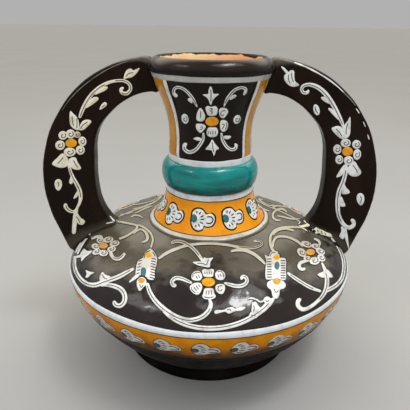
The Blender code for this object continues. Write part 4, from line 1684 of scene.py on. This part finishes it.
# Floor, light and camera
floor_reach = 60.0
floor_tones = ((0.37, 0.37, 0.365), (0.39, 0.39, 0.385))
floor_noise = (3.0, 3.0)
floor_finish = {"Roughness": 0.9, "Specular IOR Level": 0.1}
sky_low = (0.44, 0.44, 0.44)
sky_high = (0.60, 0.60, 0.61)
sky_low_until = 0.12
sky_high_from = 0.60
glow_rise = (0.26, 0.56)
glow_back = (0.10, 0.50)
glow_colour = (1.9, 1.74, 1.42)
no_light = (0.0, 0.0, 0.0)


def make_floor():
    material, look = new_material("pale_floor")
    tones = look.ramp(look.noise(*floor_noise), list(zip(noise_core, floor_tones)))
    look.fill("Principled BSDF", {"Base Color": tones, **floor_finish})
    mesh = bpy.data.meshes.new("floor")
    corners = [(-1.0, -1.0), (1.0, -1.0), (1.0, 1.0), (-1.0, 1.0)]
    mesh.from_pydata([(x * floor_reach, y * floor_reach, 0.0) for x, y in corners], [], [(0, 1, 2, 3)])
    mesh.materials.append(material)
    floor = add_object("floor", mesh)


def area_light(name, azimuth, elevation, distance, size, power, mirrored=True):
    """A soft rectangle of light that looks at the vase. Azimuth 0 is the front, 90 the +X side."""
    turn = math.radians(azimuth)
    rise = math.radians(elevation)
    out = Vector((math.sin(turn) * math.cos(rise), -math.cos(turn) * math.cos(rise), math.sin(rise)))
    data = bpy.data.lights.new(name, "AREA")
    data.shape = "RECTANGLE"
    data.size, data.size_y = size
    data.energy = power
    light = add_object(name, data)
    light.visible_glossy = mirrored
    light.location = Vector((0.0, 0.0, belly_height)) + out * distance
    light.rotation_euler = (-out).to_track_quat("-Z", "Y").to_euler()


def make_world():
    """A studio round the vase: an even pale surround, with a broad soft warm glow above and behind."""
    world = bpy.data.worlds.new("studio")
    world.use_nodes = True
    look = Nodes(world.node_tree)
    axes = look.axes("Generated")
    surround = look.ramp(axes["Z"], [(sky_low_until, sky_low), (sky_high_from, sky_high)])
    rise = look.spread(axes["Z"], *glow_rise, interpolation_type="SMOOTHSTEP")
    back = look.spread(axes["Y"], *glow_back, interpolation_type="SMOOTHSTEP")
    glow = look.mix(look.math("MULTIPLY", rise, back), no_light, glow_colour)
    look.fill("Background", {"Color": look.mix(1.0, surround, glow, "ADD")})
    bpy.context.scene.world = world


def make_camera():
    data = bpy.data.cameras.new("camera")
    data.sensor_width = sensor_width
    data.lens = sensor_width * focal_px / photo_side
    data.shift_x = (photo_side / 2.0 - axis_px[0]) / photo_side
    camera = add_object("camera", data)
    camera.location = camera_place
    camera.rotation_mode = "QUATERNION"
    camera.rotation_quaternion = camera_turn.to_quaternion()
    bpy.context.scene.camera = camera


make_floor()
make_world()
make_camera()
area_light("key_light", 58.0, 70.0, 1.6, (0.42, 0.22), 5.7)
area_light("soft_light", 55.0, 68.0, 1.7, (1.10, 0.75), 6.8)
area_light("side_light", -66.0, 50.0, 1.5, (0.55, 0.34), 1.3)
area_light("spark_light", -58.0, 51.0, 1.45, (0.07, 0.07), 0.35)
area_light("fill_light", -12.0, 36.0, 1.7, (1.20, 0.80), 4.3, mirrored=False)
bpy.context.scene.view_settings.view_transform = "Standard"
